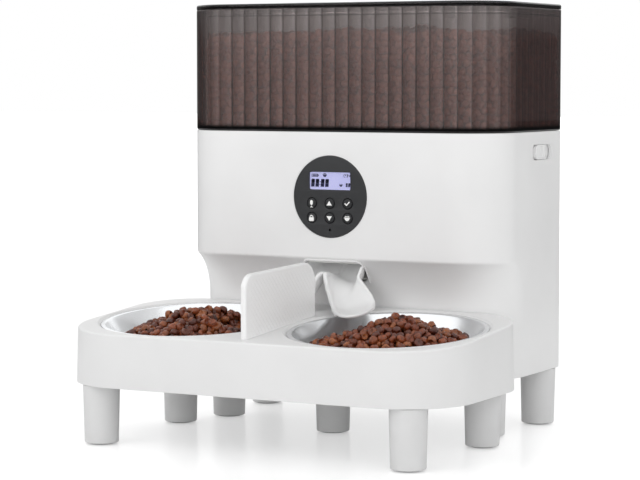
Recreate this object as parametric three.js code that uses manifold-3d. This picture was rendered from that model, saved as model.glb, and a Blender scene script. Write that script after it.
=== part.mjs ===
// Automatic pet feeder: a fluted food tank on a moulded housing, a portion rotor inside it,
// a splitter chute, and a sloping tray with two bowls and a divider, all standing on nine legs.
// Millimetres. X to the right, Y to the rear, Z up; the origin is the middle of the footprint.
import * as THREE from 'three';
import { mergeVertices } from 'three/addons/utils/BufferGeometryUtils.js';
import Module from 'manifold-3d';

const wasm = await Module();
wasm.setup();

// ---------------------------------------------------------------- driving dimensions

const flatness = 0.01; // how far a joined solid may move when its spare corners go

// Fits
const seatGap = 0.3; // between pieces that rest on or in each other
const runGap = 0.5; // between a turning or sliding piece and its guide

// Legs
const legHeight = 47.5; // floor to the underside of tray and housing
const legTopRadius = 14.8;
const legInset = 0.4; // from a leg's top edge to the outline above it
const legFootRadius = 13.6;
const trayLegSetback = 12; // from the tray's rear wall to its rear pair, beyond the inset
const legSpigotRadius = 6;
const legSpigotHeight = 9;
const padRadius = 10.5;
const padThickness = 2.6;
const padReach = 0.8; // how far a pad stands out of its leg

// Housing
const bodyWidth = 292.6;
const bodyDepth = 123; // at the foot, behind the tray
const lipHeight = 96; // underside to front lip
const frontHeight = 104; // front lip to tank seam
const lipOverhang = 21;
const coveSweep = 60; // degrees of arc in the hollow under the lip
const bodyFrontRadius = 45;
const bodyRearRadius = 8;
const bodyWall = 2.6;
const plateThickness = 2.5;
const postRadius = 5;
const postSetback = 5; // between a post and the leg's spigot beside it

// Tray
const trayWidth = 345.4;
const trayDepth = 175.2;
const trayFrontHeight = 42.7;
const trayTilt = 4.4; // degrees, rising to the rear
const trayFrontRadius = 57.5;
const trayRearRadius = 50;
const trayWall = 2.6;
const trayDeck = 4.4;
const trayDraft = 1.2;
const trayEdgeRadius = 1.6;
const tabWidth = 18;
const tabThickness = 4;
const tabReach = 4.6;
const tabX = 70;
const tabRise = 22.5;

// Bowls
const bowlSpacing = 172;
const bowlSetback = 87.9; // tray front to the bowls' centre line
const bowlRimRadius = 79.2;
const bowlMouthRadius = 75.6;
const bowlFloorRadius = 52;
const bowlDepth = 33;
const bowlSheet = 1;
const seatDepth = 2.4;
const seatChamfer = 2.2;

// Divider
const dividerThickness = 5;
const dividerSetback = 11.3; // tray front to the divider's front edge
const dividerLength = 113.5;
const dividerHeight = 47; // above the tray, halfway along
const dividerTopTilt = 1.6; // degrees
const dividerFrontRadius = 12;
const dividerRearRadius = 17;
const dividerFoot = 2.6; // how deep it stands in its groove

// Outlet and splitter chute
const slotWidth = 54.4;
const slotHeight = 21.4;
const slotTopDrop = 2; // below the lip
const slotRadius = 5;
const chuteThickness = 2;
const ductWall = 2;
const ductMouthWidth = 58.4;
const ductMouthHeight = 16.2;
const ductMouthRise = 5; // above the slot's lower edge
const ductTopWidth = 48;
const ductTopDepth = 26;

// Portion mechanism
const drumRadius = 56;
const drumWall = 2.5;
const drumHeight = 41;
const drumFloorRise = 7.2;
const drumSetback = 55; // from the foot's front wall to the drum's axis
const rotorVanes = 6;
const rotorHeight = 25;
const rotorHubRadius = 12;
const vaneThickness = 3;
const deckRise = 99.5; // underside of the housing to the underside of the deck
const deckThickness = 3;
const gearModule = 1.25;
const gearTeeth = 36;
const pinionTeeth = 12;
const gearThickness = 5.8;
const gearBacklash = 0.5;
const shaftRadius = 5;
const pinionShaftRadius = 2.5;
const motorWidth = 40;
const motorDepth = 44;
const motorHeight = 20;
const motorCanRadius = 14;
const motorCanHeight = 24;

// Tank and lid
const tankHeight = 99.7;
const tankWall = 3;
const flutePitch = 12;
const fluteDepth = 1.2;
const neckDepth = 6.8;
const funnelWall = 2.5;
const lidRimHeight = 5.2;
const lidPlugDepth = 8;
const lidPlugWall = 2.4;
const lidTopThickness = 2.6;
const gasketHeight = 2.6;
const gasketInset = 4.5;
const gasketWidth = 1.8;
const desiccantSize = [62, 40, 12];
const desiccantPlace = [88, 104];

// Control panel
const panelRadius = 33.6;
const panelHeight = 51; // above the lip
const panelProud = 0.8;
const panelThickness = 3.7;
const panelFlange = 2.5;
const panelFlangeThickness = 1.6;
const windowSize = [37.6, 13.9];
const windowRise = 12.9; // above the panel's centre
const windowThickness = 1.4;
const displayMargin = 2.5;
const displayThickness = 3.2;
const buttonRadius = 4.2;
const buttonSpacing = 16.5;
const buttonRows = [-5.5, -17.5]; // below the panel's centre
const buttonProud = 0.7;
const buttonTravel = 0.8;
const buttonFlange = 1;
const buttonStemRadius = 1.4;
const boardRadius = 29;
const boardThickness = 1.6;
const micRadius = 3;
const micBore = 1;
const micDrop = 27.4; // below the panel's centre

// Tank latches
const latchSetback = 97; // from the lip to the latch's middle
const latchDrop = 17; // below the tank seam
const latchSlot = [43, 12.7];
const latchKnobLength = 22;
const latchTravel = 6; // each way
const latchPlateHeight = 15.6;
const latchPlateThickness = 1.6;

// Power
const cellRadius = 16.5;
const cellLength = 60;
const cellGap = 1.2;
const batteryWall = 2;
const socketRadius = 5.2;
const socketBore = 2.8;
const socketPin = 1;
const socketDepth = 12;
const socketInset = 61; // from the housing's right side
const socketRise = 16;
const speakerRadius = 18;
const speakerHeight = 7.5;
const speakerInset = [49, 54.5]; // from the housing's right side and rear

// ---------------------------------------------------------------- derived places

const overallDepth = trayDepth + seatGap + bodyDepth;
const trayFront = -overallDepth / 2;
const trayRear = trayFront + trayDepth;
const footFront = trayRear + seatGap;
const bodyRear = overallDepth / 2;
const socketX = bodyWidth / 2 - socketInset;
const lipFront = footFront - lipOverhang;
const lipZ = legHeight + lipHeight;
const seamZ = lipZ + frontHeight;
const tankZ = seamZ + seatGap;
const lidZ = tankZ + tankHeight + seatGap;

const coveRadius = lipOverhang / (1 - Math.cos(THREE.MathUtils.degToRad(coveSweep)));
const coveZ = lipZ - coveRadius * Math.sin(THREE.MathUtils.degToRad(coveSweep));
const coveY = footFront - coveRadius;

const traySlope = Math.tan(THREE.MathUtils.degToRad(trayTilt));
const trayTopAt = (y) => legHeight + trayFrontHeight + (y - trayFront) * traySlope;
const bowlY = trayFront + bowlSetback;

const drumY = footFront + drumSetback;
const deckZ = legHeight + deckRise;
const deckTop = deckZ + deckThickness;
const drumZ = deckTop + seatGap;
const drumFloorZ = drumZ + drumFloorRise;
const drumTop = drumZ + drumHeight;
const rotorZ = drumFloorZ + plateThickness + runGap;
const gearZ = deckTop + runGap;
const pinionY = drumY + (gearModule * (gearTeeth + pinionTeeth)) / 2;
const panelZ = lipZ + panelHeight;
const panelFront = lipFront - panelProud;
const panelBack = panelFront + panelThickness;

// ---------------------------------------------------------------- forms and joining

// A closed geometry with merged corners, no empty faces, and its faces pointing out.
function closed(geometry) {
  const bare = geometry.index ? geometry.toNonIndexed() : geometry.clone();
  for (const name of Object.keys(bare.attributes)) {
    if (name !== 'position') bare.deleteAttribute(name);
  }
  const merged = mergeVertices(bare, 1e-4);
  const corners = merged.attributes.position;
  const faces = [];
  let volume = 0;
  const [a, b, c] = [new THREE.Vector3(), new THREE.Vector3(), new THREE.Vector3()];
  for (let i = 0; i < merged.index.count; i += 3) {
    const [p, q, r] = [0, 1, 2].map((k) => merged.index.getX(i + k));
    if (p === q || q === r || r === p) continue;
    faces.push([p, q, r]);
    a.fromBufferAttribute(corners, p);
    b.fromBufferAttribute(corners, q);
    c.fromBufferAttribute(corners, r);
    volume += a.dot(b.cross(c));
  }
  merged.setIndex((volume < 0 ? faces.map(([p, q, r]) => [p, r, q]) : faces).flat());
  return merged;
}

function solidOf(geometry) {
  const form = closed(geometry);
  return new wasm.Manifold(new wasm.Mesh({
    numProp: 3,
    vertProperties: Float32Array.from(form.attributes.position.array),
    triVerts: Uint32Array.from(form.index.array),
  }));
}

// Back to a geometry, with the corners that lie within flatness of a face or an edge taken out.
function geometryOf(solid) {
  const mesh = solid.asOriginal().simplify(flatness).getMesh();
  const geometry = new THREE.BufferGeometry();
  geometry.setAttribute('position', new THREE.BufferAttribute(mesh.vertProperties, 3));
  geometry.setIndex(new THREE.BufferAttribute(mesh.triVerts, 1));
  return geometry;
}

const join = (first, ...others) => geometryOf(others.reduce((s, o) => s.add(solidOf(o)), solidOf(first)));
const cut = (body, ...tools) => geometryOf(tools.reduce((s, t) => s.subtract(solidOf(t)), solidOf(body)));
const common = (first, second) => geometryOf(solidOf(first).intersect(solidOf(second)));

function block(x0, x1, y0, y1, z0, z1) {
  return new THREE.BoxGeometry(x1 - x0, y1 - y0, z1 - z0)
    .translate((x0 + x1) / 2, (y0 + y1) / 2, (z0 + z1) / 2);
}

// An upright cylinder standing at x, y.
function rod(radius, z0, z1, x = 0, y = 0, segments = 24) {
  return new THREE.CylinderGeometry(radius, radius, z1 - z0, segments)
    .rotateX(Math.PI / 2).translate(x, y, (z0 + z1) / 2);
}

// A profile of [radius, height] pairs turned about the upright axis.
function turned(profile, segments) {
  const points = profile.map(([r, z]) => new THREE.Vector2(r, z));
  return new THREE.LatheGeometry(points, segments).rotateX(Math.PI / 2);
}

// A flat shape in X and Z, given thickness along Y from its front face at y.
function upright(shape, y, thickness, curveSegments = 12) {
  return new THREE.ExtrudeGeometry(shape, { depth: thickness, bevelEnabled: false, curveSegments })
    .rotateX(Math.PI / 2).translate(0, y + thickness, 0);
}

function roundedShape(width, height, radius, x = 0, z = 0, Type = THREE.Shape) {
  const shape = new Type();
  const [w, h] = [width / 2 - radius, height / 2 - radius];
  const turn = Math.PI / 2;
  shape.moveTo(x - w, z - height / 2);
  shape.lineTo(x + w, z - height / 2);
  shape.absarc(x + w, z - h, radius, -turn, 0, false);
  shape.lineTo(x + width / 2, z + h);
  shape.absarc(x + w, z + h, radius, 0, turn, false);
  shape.lineTo(x - w, z + height / 2);
  shape.absarc(x - w, z + h, radius, turn, 2 * turn, false);
  shape.lineTo(x - width / 2, z - h);
  shape.absarc(x - w, z - h, radius, 2 * turn, 3 * turn, false);
  return shape;
}

// A circle drawn with its own number of sides, whatever shape it is cut from.
function circleShape(radius, x, z, sides = 36, Type = THREE.Shape) {
  return new Type(Array.from({ length: sides }, (_, i) => {
    const angle = (2 * Math.PI * i) / sides;
    return new THREE.Vector2(x + radius * Math.cos(angle), z + radius * Math.sin(angle));
  }));
}

// A rounded rectangle as a closed run of [x, y] points, with its own front and rear corner radii.
// Its long straight edges can be divided, and its short ones then are too.
function roundedOutline(box, inset = 0, frontSteps = 7, rearSteps = 2, divisions = 1) {
  const [x, y0, y1] = [box.width / 2 - inset, box.front + inset, box.rear - inset];
  const [front, rear] = [box.frontRadius, box.rearRadius].map((r) => Math.max(r - inset, 1));
  const corners = [
    [x - front, y0 + front, front, -90, frontSteps],
    [x - rear, y1 - rear, rear, 0, rearSteps],
    [rear - x, y1 - rear, rear, 90, rearSteps],
    [front - x, y0 + front, front, 180, frontSteps],
  ];
  const arcs = corners.map(([cx, cy, radius, start, steps]) =>
    Array.from({ length: steps + 1 }, (_, i) => {
      const angle = THREE.MathUtils.degToRad(start + (90 * i) / steps);
      return [cx + radius * Math.cos(angle), cy + radius * Math.sin(angle)];
    }));
  return arcs.flatMap((arc, i) => {
    const [ax, ay] = arc[arc.length - 1];
    const [bx, by] = arcs[(i + 1) % 4][0];
    const parts = i % 2 ? divisions : Math.ceil(divisions / 3);
    const between = Array.from({ length: parts - 1 }, (_, k) => {
      const t = (k + 1) / parts;
      return [ax + (bx - ax) * t, ay + (by - ay) * t];
    });
    return [...arc, ...between];
  });
}

const ringAt = (outline, height) =>
  outline.map(([x, y]) => [x, y, typeof height === 'function' ? height(y) : height]);

// A closed skin through rings of equally many points, with a fan of faces at each end.
function loft(rings) {
  const count = rings[0].length;
  const positions = rings.flat(2);
  const faces = [];
  for (let k = 0; k + 1 < rings.length; k += 1) {
    for (let i = 0; i < count; i += 1) {
      const [a, b] = [k * count + i, k * count + ((i + 1) % count)];
      faces.push(a, b, b + count, a, b + count, a + count);
    }
  }
  const cap = (ring, offset, flip) => {
    const middle = positions.length / 3;
    for (const axis of [0, 1, 2]) {
      positions.push(ring.reduce((sum, point) => sum + point[axis], 0) / count);
    }
    for (let i = 0; i < count; i += 1) {
      const [a, b] = [offset + i, offset + ((i + 1) % count)];
      faces.push(...(flip ? [middle, b, a] : [middle, a, b]));
    }
  };
  cap(rings[0], 0, true);
  cap(rings[rings.length - 1], (rings.length - 1) * count, false);
  const geometry = new THREE.BufferGeometry();
  geometry.setAttribute('position', new THREE.Float32BufferAttribute(positions, 3));
  geometry.setIndex(faces);
  return closed(geometry);
}

const prism = (outline, z0, z1) => loft([ringAt(outline, z0), ringAt(outline, z1)]);

// A curved sheet of even thickness below a grid of points.
function sheet(grid, thickness) {
  const [rows, columns] = [grid.length, grid[0].length];
  const at = (i, j) => grid[THREE.MathUtils.clamp(i, 0, rows - 1)][THREE.MathUtils.clamp(j, 0, columns - 1)];
  const top = grid.flat();
  const under = top.map((point, n) => {
    const [i, j] = [Math.floor(n / columns), n % columns];
    const along = at(i + 1, j).clone().sub(at(i - 1, j));
    const across = at(i, j + 1).clone().sub(at(i, j - 1));
    return point.clone().addScaledVector(along.cross(across).normalize(), thickness);
  });
  const faces = [];
  const quad = (a, b, c, d) => faces.push(a, b, c, a, c, d);
  const below = rows * columns;
  for (let i = 0; i + 1 < rows; i += 1) {
    for (let j = 0; j + 1 < columns; j += 1) {
      const n = i * columns + j;
      quad(n, n + 1, n + columns + 1, n + columns);
      quad(below + n, below + n + columns, below + n + columns + 1, below + n + 1);
    }
    for (const [j, flip] of [[0, false], [columns - 1, true]]) {
      const [n, m] = [i * columns + j, (i + 1) * columns + j];
      if (flip) quad(n, below + n, below + m, m);
      else quad(n, m, below + m, below + n);
    }
  }
  for (let j = 0; j + 1 < columns; j += 1) {
    quad(j, below + j, below + j + 1, j + 1);
    const n = (rows - 1) * columns + j;
    quad(n, n + 1, below + n + 1, below + n);
  }
  const geometry = new THREE.BufferGeometry();
  geometry.setAttribute('position',
    new THREE.Float32BufferAttribute([...top, ...under].flatMap((p) => p.toArray()), 3));
  geometry.setIndex(faces);
  return closed(geometry);
}

const mirrored = (geometry) => closed(geometry.clone().scale(-1, 1, 1));

// ---------------------------------------------------------------- materials

const plastic = (color, roughness, more = {}) =>
  new THREE.MeshStandardMaterial({ color, roughness, metalness: 0, ...more });
const metal = (color, roughness) => new THREE.MeshStandardMaterial({ color, roughness, metalness: 1 });

const whiteAbs = plastic('#eceded', 0.35);
const smokedPlastic = plastic('#4a4140', 0.12, { transparent: true, opacity: 0.55 });
const smokedLid = plastic('#2b2728', 0.2, { transparent: true, opacity: 0.85 });
const silicone = plastic('#3b3a3b', 0.7);
const panelBlack = plastic('#3c3d3f', 0.3);
const buttonRubber = plastic('#2c2d2f', 0.55);
const windowClear = plastic('#c8c8f0', 0.08, { transparent: true, opacity: 0.5 });
const displayFace = plastic('#c8c8f0', 0.4);
const boardGreen = plastic('#1f5a3a', 0.5);
const footRubber = plastic('#8d8f90', 0.8);
const innerWhite = plastic('#dcdcda', 0.5);
const gearResin = plastic('#e9e4d4', 0.4);
const cellJacket = plastic('#3d4a5c', 0.35);
const steel = metal('#cfd2d4', 0.2);
const motorSteel = metal('#9a9da0', 0.35);
const socketBlack = plastic('#1d1d1f', 0.4);

const feeder = new THREE.Group();

function add(name, geometry, material, parent = feeder) {
  const mesh = new THREE.Mesh(geometry, material);
  mesh.name = name;
  parent.add(mesh);
  return mesh;
}

// ---------------------------------------------------------------- housing

const bodyBox = (front) => ({
  width: bodyWidth, front, rear: bodyRear, frontRadius: bodyFrontRadius, rearRadius: bodyRearRadius,
});
const lipBox = bodyBox(lipFront);

// The rings of the housing's outer skin, or of the skin lying a wall's thickness inside it.
function bodyRings(inset) {
  const radius = coveRadius + inset;
  const ring = (front, z) => ringAt(roundedOutline(bodyBox(front - inset), inset), z);
  const rings = [ring(coveY + radius, legHeight)];
  const steps = 5;
  for (let i = 0; i <= steps; i += 1) {
    const angle = THREE.MathUtils.degToRad((coveSweep * i) / steps);
    rings.push(ring(coveY + radius * Math.cos(angle), coveZ + radius * Math.sin(angle)));
  }
  rings.push(ring(lipFront + inset, lipZ + inset + 0.6));
  rings.push(ring(lipFront + inset, seamZ));
  return rings;
}

const stretched = (rings, reach) => {
  const shifted = (ring, dz) => ring.map(([x, y, z]) => [x, y, z + dz]);
  return [shifted(rings[0], -reach), ...rings, shifted(rings[rings.length - 1], reach)];
};

function makeHousing() {
  const shell = cut(loft(bodyRings(0)), loft(stretched(bodyRings(bodyWall), 1)));
  const slotTop = lipZ - slotTopDrop;
  const slot = upright(
    roundedShape(slotWidth, slotHeight, slotRadius, 0, slotTop - slotHeight / 2),
    lipFront - 1, footFront - lipFront + bodyWall + 4, 3);
  const panelHole = upright(circleShape(panelRadius + seatGap, 0, panelZ), lipFront - 1, bodyWall + 2);
  const tabHoles = [-tabX, tabX].map((x) => block(
    x - tabWidth / 2 - seatGap, x + tabWidth / 2 + seatGap, footFront - 1, footFront + bodyWall + 1,
    tabZ - seatGap, tabZ + tabThickness + seatGap));
  const latchHoles = [1, -1].map((side) => latchSlotTool(side));
  const socketHole = rod(socketRadius + seatGap, -bodyWall - 1, bodyWall + 1, 0, 0, 14)
    .rotateX(Math.PI / 2).translate(socketX, bodyRear, socketZ);
  return cut(shell, slot, panelHole, ...tabHoles, ...latchHoles, socketHole);
}

const tabZ = legHeight + tabRise;
const latchY = lipFront + latchSetback;
const latchZ = seamZ - latchDrop;
const socketZ = legHeight + socketRise;

// A piece drawn upright in X and Z, turned to lie on the side wall, on the right (1) or the left (-1).
function onSide(geometry, side, x) {
  const turnedPiece = geometry.rotateZ(Math.PI / 2).translate(side > 0 ? x : -x, latchY, latchZ);
  return turnedPiece;
}

function latchSlotTool(side) {
  const shape = roundedShape(latchSlot[0], latchSlot[1], latchSlot[1] / 2 - 0.05);
  return onSide(upright(shape, -bodyWall - 1, 2 * bodyWall + 2, 3), side, bodyWidth / 2);
}

const legPlaces = (() => {
  const reach = legTopRadius + legInset;
  const cornerOf = (half, radius) => half - radius + (radius - reach) * Math.SQRT1_2;
  const frontX = trayWidth / 2 - trayFrontRadius + (trayFrontRadius - reach) * 0.5;
  const frontY = trayFront + trayFrontRadius - (trayFrontRadius - reach) * 0.866;
  const rearX = trayWidth / 2 - trayRearRadius + (trayRearRadius - reach) * 0.5;
  const rearY = trayRear - reach - trayLegSetback;
  const bodyX = cornerOf(bodyWidth / 2, bodyFrontRadius);
  const bodyY = footFront + bodyFrontRadius - (bodyFrontRadius - reach) * Math.SQRT1_2;
  const backX = bodyWidth / 2 - reach;
  const backY = bodyRear - reach;
  return {
    tray: [[-frontX, frontY], [frontX, frontY], [-rearX, rearY], [rearX, rearY],
      [0, trayRear - reach]],
    body: [[-bodyX, bodyY], [bodyX, bodyY], [-backX, backY], [backX, backY]],
  };
})();

const posts = legPlaces.body.map(([x, y]) =>
  [x - Math.sign(x) * (legSpigotRadius + postRadius + postSetback), y]);

// Holes for the spigots, wide enough between their flats.
const spigotHoles = (places) => places.map(([x, y]) =>
  rod((legSpigotRadius + seatGap) / Math.cos(Math.PI / 12), legHeight - 1, legHeight + plateThickness + 1, x, y, 12));

const cellPitch = 2 * cellRadius + cellGap;
const batteryBox = {
  x: 1.5 * cellPitch + cellGap, y0: drumY - cellLength / 2 + 4, y1: drumY + cellLength / 2 + 6,
};

function makeBasePlate() {
  const outline = roundedOutline(bodyBox(footFront), bodyWall + seatGap);
  const plate = prism(outline, legHeight, legHeight + plateThickness);
  const columns = posts.map(([x, y]) =>
    rod(postRadius, legHeight + plateThickness / 2, deckZ - seatGap, x, y, 8));
  const opening = block(-batteryBox.x, batteryBox.x, batteryBox.y0, batteryBox.y1,
    legHeight - 1, legHeight + plateThickness + 1);
  return cut(join(plate, ...columns), opening, ...spigotHoles(legPlaces.body));
}

function makeBatteryDoor() {
  const { x, y0, y1 } = batteryBox;
  return block(seatGap - x, x - seatGap, y0 + seatGap, y1 - seatGap, legHeight, legHeight + plateThickness);
}

const batteryFloor = legHeight + plateThickness + seatGap;

function makeBatteryBox() {
  const { x, y0, y1 } = batteryBox;
  const height = 2 * cellRadius + 2 * cellGap;
  const outer = block(-x - batteryWall, x + batteryWall, y0 - batteryWall, y1 + batteryWall,
    batteryFloor, batteryFloor + height + batteryWall);
  return cut(outer, block(-x, x, y0, y1, batteryFloor - 1, batteryFloor + height));
}

function makeCell(index) {
  const y = (batteryBox.y0 + batteryBox.y1) / 2;
  const nipple = 2;
  const body = rod(cellRadius, -cellLength / 2, cellLength / 2 - nipple, 0, 0, 16);
  const cap = rod(cellRadius * 0.35, cellLength / 2 - nipple - 1, cellLength / 2, 0, 0, 8);
  const flip = index % 2 ? 1 : -1;
  return join(body, cap).rotateX((flip * Math.PI) / 2)
    .translate((index - 1) * cellPitch, y, batteryFloor + cellRadius + seatGap);
}

add('housing', makeHousing(), whiteAbs);
add('base_plate', makeBasePlate(), whiteAbs);
add('battery_door', makeBatteryDoor(), whiteAbs);
add('battery_box', makeBatteryBox(), innerWhite);
for (let i = 0; i < 3; i += 1) add(`battery_cell_${i + 1}`, makeCell(i), cellJacket);

// Deck that carries the drum, the gears and the motor.
const ductSlot = ductTopWidth / 2 + 4;

function makeDeck() {
  const plate = prism(roundedOutline(lipBox, bodyWall + seatGap), deckZ, deckTop);
  const ductHole = block(-ductSlot, ductSlot, ductWallAt(ductMouthZ + ductMouthHeight) + 3, ductTopY1 + 2,
    deckZ - 1, deckTop + 1);
  return cut(plate, ductHole, rod(pinionShaftRadius + 1, deckZ - 1, deckTop + 1, 0, pinionY, 16));
}

// ---------------------------------------------------------------- outlet duct and splitter

const ductTopY0 = drumY - drumRadius + 6;
const ductTopY1 = ductTopY0 + ductTopDepth;
const ductMouthZ = lipZ - slotTopDrop - slotHeight + ductMouthRise;
const ductWallAt = (z) =>
  coveY + Math.sqrt((coveRadius + bodyWall) ** 2 - (z - coveZ) ** 2) + seatGap;

// The duct's mouth follows the curved wall behind the slot; its top takes the food from the drum.
function makeOutletDuct() {
  const [topZ, sideSteps] = [drumFloorZ - seatGap, 4];
  const sides = (x, from, to) => {
    const column = (side) => Array.from({ length: sideSteps + 1 }, (_, i) =>
      [side * x, from + ((to - from) * i) / sideSteps]);
    return [...column(1), ...column(-1).reverse()];
  };
  const mouth = (inset, reach) => sides(
    ductMouthWidth / 2 - inset, ductMouthZ + ductMouthHeight - inset, ductMouthZ + inset,
  ).map(([x, z]) => [x, ductWallAt(z) - reach, z]);
  const top = (inset, reach) => sides(ductTopWidth / 2 - inset, ductTopY0 + inset, ductTopY1 - inset)
    .map(([x, y]) => [x, y, topZ + reach]);
  return cut(loft([mouth(0, 0), top(0, 0)]),
    loft([mouth(ductWall, 1), mouth(ductWall, 0), top(ductWall, 0), top(ductWall, 1)]));
}

// The splitter: one gutter from the outlet that forks at a ridge into two curled spouts. Each section of
// the right half runs from its inner edge under its trough to its outer edge, measured from the slot's lip.
const chuteSections = [
  [[-0.4, 0, -16.5], [12, 0, -20], [25.6, 0, -25], [24.5, 0, -5.2]],
  [[-0.4, -10, -15.5], [12, -10, -22], [26.2, -10.5, -27], [24.6, -9.5, -7.2]],
  [[1.4, -31, -12], [6, -29, -33], [25, -24, -35], [26.8, -17, -14.7]],
  [[4.2, -35, -17.5], [9, -35, -38], [28, -29, -39], [30.8, -20, -18.5]],
  [[8.2, -37, -28], [15, -40, -42.5], [36, -36, -43], [38.5, -25, -24.2]],
  [[15, -45, -34.5], [24, -52, -44], [46, -48, -44], [45.2, -30.5, -30.2]],
  [[24, -53, -39.3], [36, -79, -42.1], [60, -74, -41.7], [48.6, -37, -36.5]],
];
const chuteRear = ductWallAt(ductMouthZ + 2 * ductWall) - seatGap;

function makeSplitter() {
  const [along, across] = [15, 8];
  const origin = new THREE.Vector3(0, chuteRear, lipZ);
  const rails = [0, 1, 2, 3].map((k) => new THREE.CatmullRomCurve3(
    chuteSections.map((section) => new THREE.Vector3(...section[k]).add(origin))));
  const grid = Array.from({ length: along + 1 }, (_, i) =>
    new THREE.CubicBezierCurve3(...rails.map((rail) => rail.getPoint(i / along))).getPoints(across));
  const right = sheet(grid, chuteThickness);
  return join(right, mirrored(right));
}

add('outlet_duct', makeOutletDuct(), innerWhite);
add('splitter_chute', makeSplitter(), whiteAbs);
add('chassis_deck', makeDeck(), innerWhite);

// ---------------------------------------------------------------- portion mechanism

function makeDrum() {
  const inner = drumRadius - drumWall;
  const bore = shaftRadius + runGap;
  const profile = [
    [bore, drumFloorZ], [inner, drumFloorZ], [inner, drumZ], [drumRadius, drumZ],
    [drumRadius, drumTop], [inner, drumTop], [inner, drumFloorZ + plateThickness],
    [bore, drumFloorZ + plateThickness], [bore, drumFloorZ],
  ];
  const cup = turned(profile, 32).translate(0, drumY, 0);
  const opening = block(-ductTopWidth / 2 + ductWall, ductTopWidth / 2 - ductWall,
    ductTopY0 + ductWall, ductTopY1 - ductWall, drumFloorZ - 1, drumFloorZ + plateThickness + 1);
  const notch = block(-ductSlot, ductSlot, drumY - drumRadius - 1, ductTopY1 + 3,
    drumZ - 1, drumFloorZ - 0.05);
  const shieldZ = drumTop - 3;
  const shield = common(
    block(-drumRadius, drumRadius, drumY - drumRadius, ductTopY1 + 4, shieldZ, shieldZ + 2),
    rod(inner + drumWall / 2, shieldZ - 1, shieldZ + 3, 0, drumY, 32));
  return join(cut(cup, opening, notch), shield);
}

function makeRotor() {
  const reach = drumRadius - drumWall - 0.9;
  const hub = turned([[0, 0], [rotorHubRadius, 0], [rotorHubRadius, rotorHeight - 4],
    [rotorHubRadius * 0.6, rotorHeight], [0, rotorHeight]], 20);
  const vanes = Array.from({ length: rotorVanes }, (_, i) =>
    block(2, reach, -vaneThickness / 2, vaneThickness / 2, 0, rotorHeight - 2)
      .rotateZ((2 * Math.PI * (i + 0.5)) / rotorVanes));
  return join(hub, ...vanes).translate(0, drumY, rotorZ);
}

// A spur gear outline with straight flanks, one tooth centred at the turned angle.
function gearShape(teeth, turn) {
  const pitchRadius = (gearModule * teeth) / 2;
  const [tip, root] = [pitchRadius + 0.9 * gearModule, pitchRadius - 1.15 * gearModule];
  const half = (Math.PI * gearModule) / 4 - gearBacklash / 2;
  const flank = Math.tan(THREE.MathUtils.degToRad(20));
  const corners = [[root, half + (pitchRadius - root) * flank], [tip, half - (tip - pitchRadius) * flank]];
  const shape = new THREE.Shape();
  for (let i = 0; i < teeth; i += 1) {
    const middle = turn + (2 * Math.PI * i) / teeth;
    for (const [radius, offset] of [...corners.map(([r, w]) => [r, -w]), ...corners.map(([r, w]) => [r, w]).reverse()]) {
      const angle = middle + offset / radius;
      const point = [radius * Math.cos(angle), radius * Math.sin(angle)];
      if (shape.curves.length || shape.currentPoint.x || shape.currentPoint.y) shape.lineTo(...point);
      else shape.moveTo(...point);
    }
  }
  return shape;
}

function gearBody(teeth, turn) {
  return new THREE.ExtrudeGeometry(gearShape(teeth, turn), { depth: gearThickness, bevelEnabled: false });
}

function makeRotorGear() {
  const shaftTop = rotorZ - gearZ - seatGap;
  return join(gearBody(gearTeeth, 0), rod(shaftRadius, gearThickness / 2, shaftTop, 0, 0, 20))
    .translate(0, drumY, gearZ);
}

function makePinion() {
  const shaftFoot = deckZ + seatGap - gearZ;
  return join(gearBody(pinionTeeth, Math.PI / pinionTeeth),
    rod(pinionShaftRadius, shaftFoot, gearThickness / 2, 0, 0, 16)).translate(0, pinionY, gearZ);
}

function makeMotor() {
  const top = deckZ - seatGap;
  const y = pinionY + motorDepth / 2 - 14;
  const gearbox = block(-motorWidth / 2, motorWidth / 2, y - motorDepth / 2, y + motorDepth / 2,
    top - motorHeight, top);
  const can = rod(motorCanRadius, top - motorHeight - motorCanHeight, top - motorHeight + 1, 0, y + 4, 16);
  return join(gearbox, can);
}

add('portion_drum', makeDrum(), innerWhite);
add('rotor', makeRotor(), innerWhite);
add('rotor_gear', makeRotorGear(), gearResin);
add('motor_pinion', makePinion(), gearResin);
add('gear_motor', makeMotor(), motorSteel);
add('speaker', rod(speakerRadius, batteryFloor, batteryFloor + speakerHeight,
  bodyWidth / 2 - speakerInset[0], bodyRear - speakerInset[1], 18), socketBlack);

function makeSocket() {
  const barrel = [[socketPin, 2], [socketPin, socketDepth - 1], [0, socketDepth - 1], [0, 0],
    [socketRadius, 0], [socketRadius, socketDepth], [socketBore, socketDepth], [socketBore, 2], [socketPin, 2]];
  return turned(barrel, 14).rotateX(-Math.PI / 2).translate(socketX, bodyRear - socketDepth, socketZ);
}

add('power_socket', makeSocket(), socketBlack);

// ---------------------------------------------------------------- control panel

const buttonPlaces = buttonRows.flatMap((drop) =>
  [-1, 0, 1].map((column) => [column * buttonSpacing, panelZ + drop]));

function makeBezel() {
  const hole = THREE.Path;
  const face = circleShape(panelRadius, 0, panelZ);
  face.holes.push(
    roundedShape(windowSize[0] + 2 * seatGap, windowSize[1] + 2 * seatGap, 1.2, 0, panelZ + windowRise, hole),
    ...buttonPlaces.map(([x, z]) => circleShape(buttonRadius + runGap, x, z, 12, hole)),
    circleShape(micBore, 0, panelZ - micDrop, 8, hole));
  const rim = (outer, front, back) => {
    const ring = circleShape(outer, 0, panelZ);
    ring.holes.push(circleShape(panelRadius - panelFlange, 0, panelZ, 36, hole));
    return upright(ring, front, back - front);
  };
  const flangeFront = lipFront + bodyWall + seatGap;
  return join(upright(face, panelFront, panelThickness, 2),
    rim(panelRadius - 0.4, panelBack - 1, flangeFront + 1),
    rim(panelRadius + panelFlange, flangeFront, flangeFront + panelFlangeThickness));
}

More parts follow.
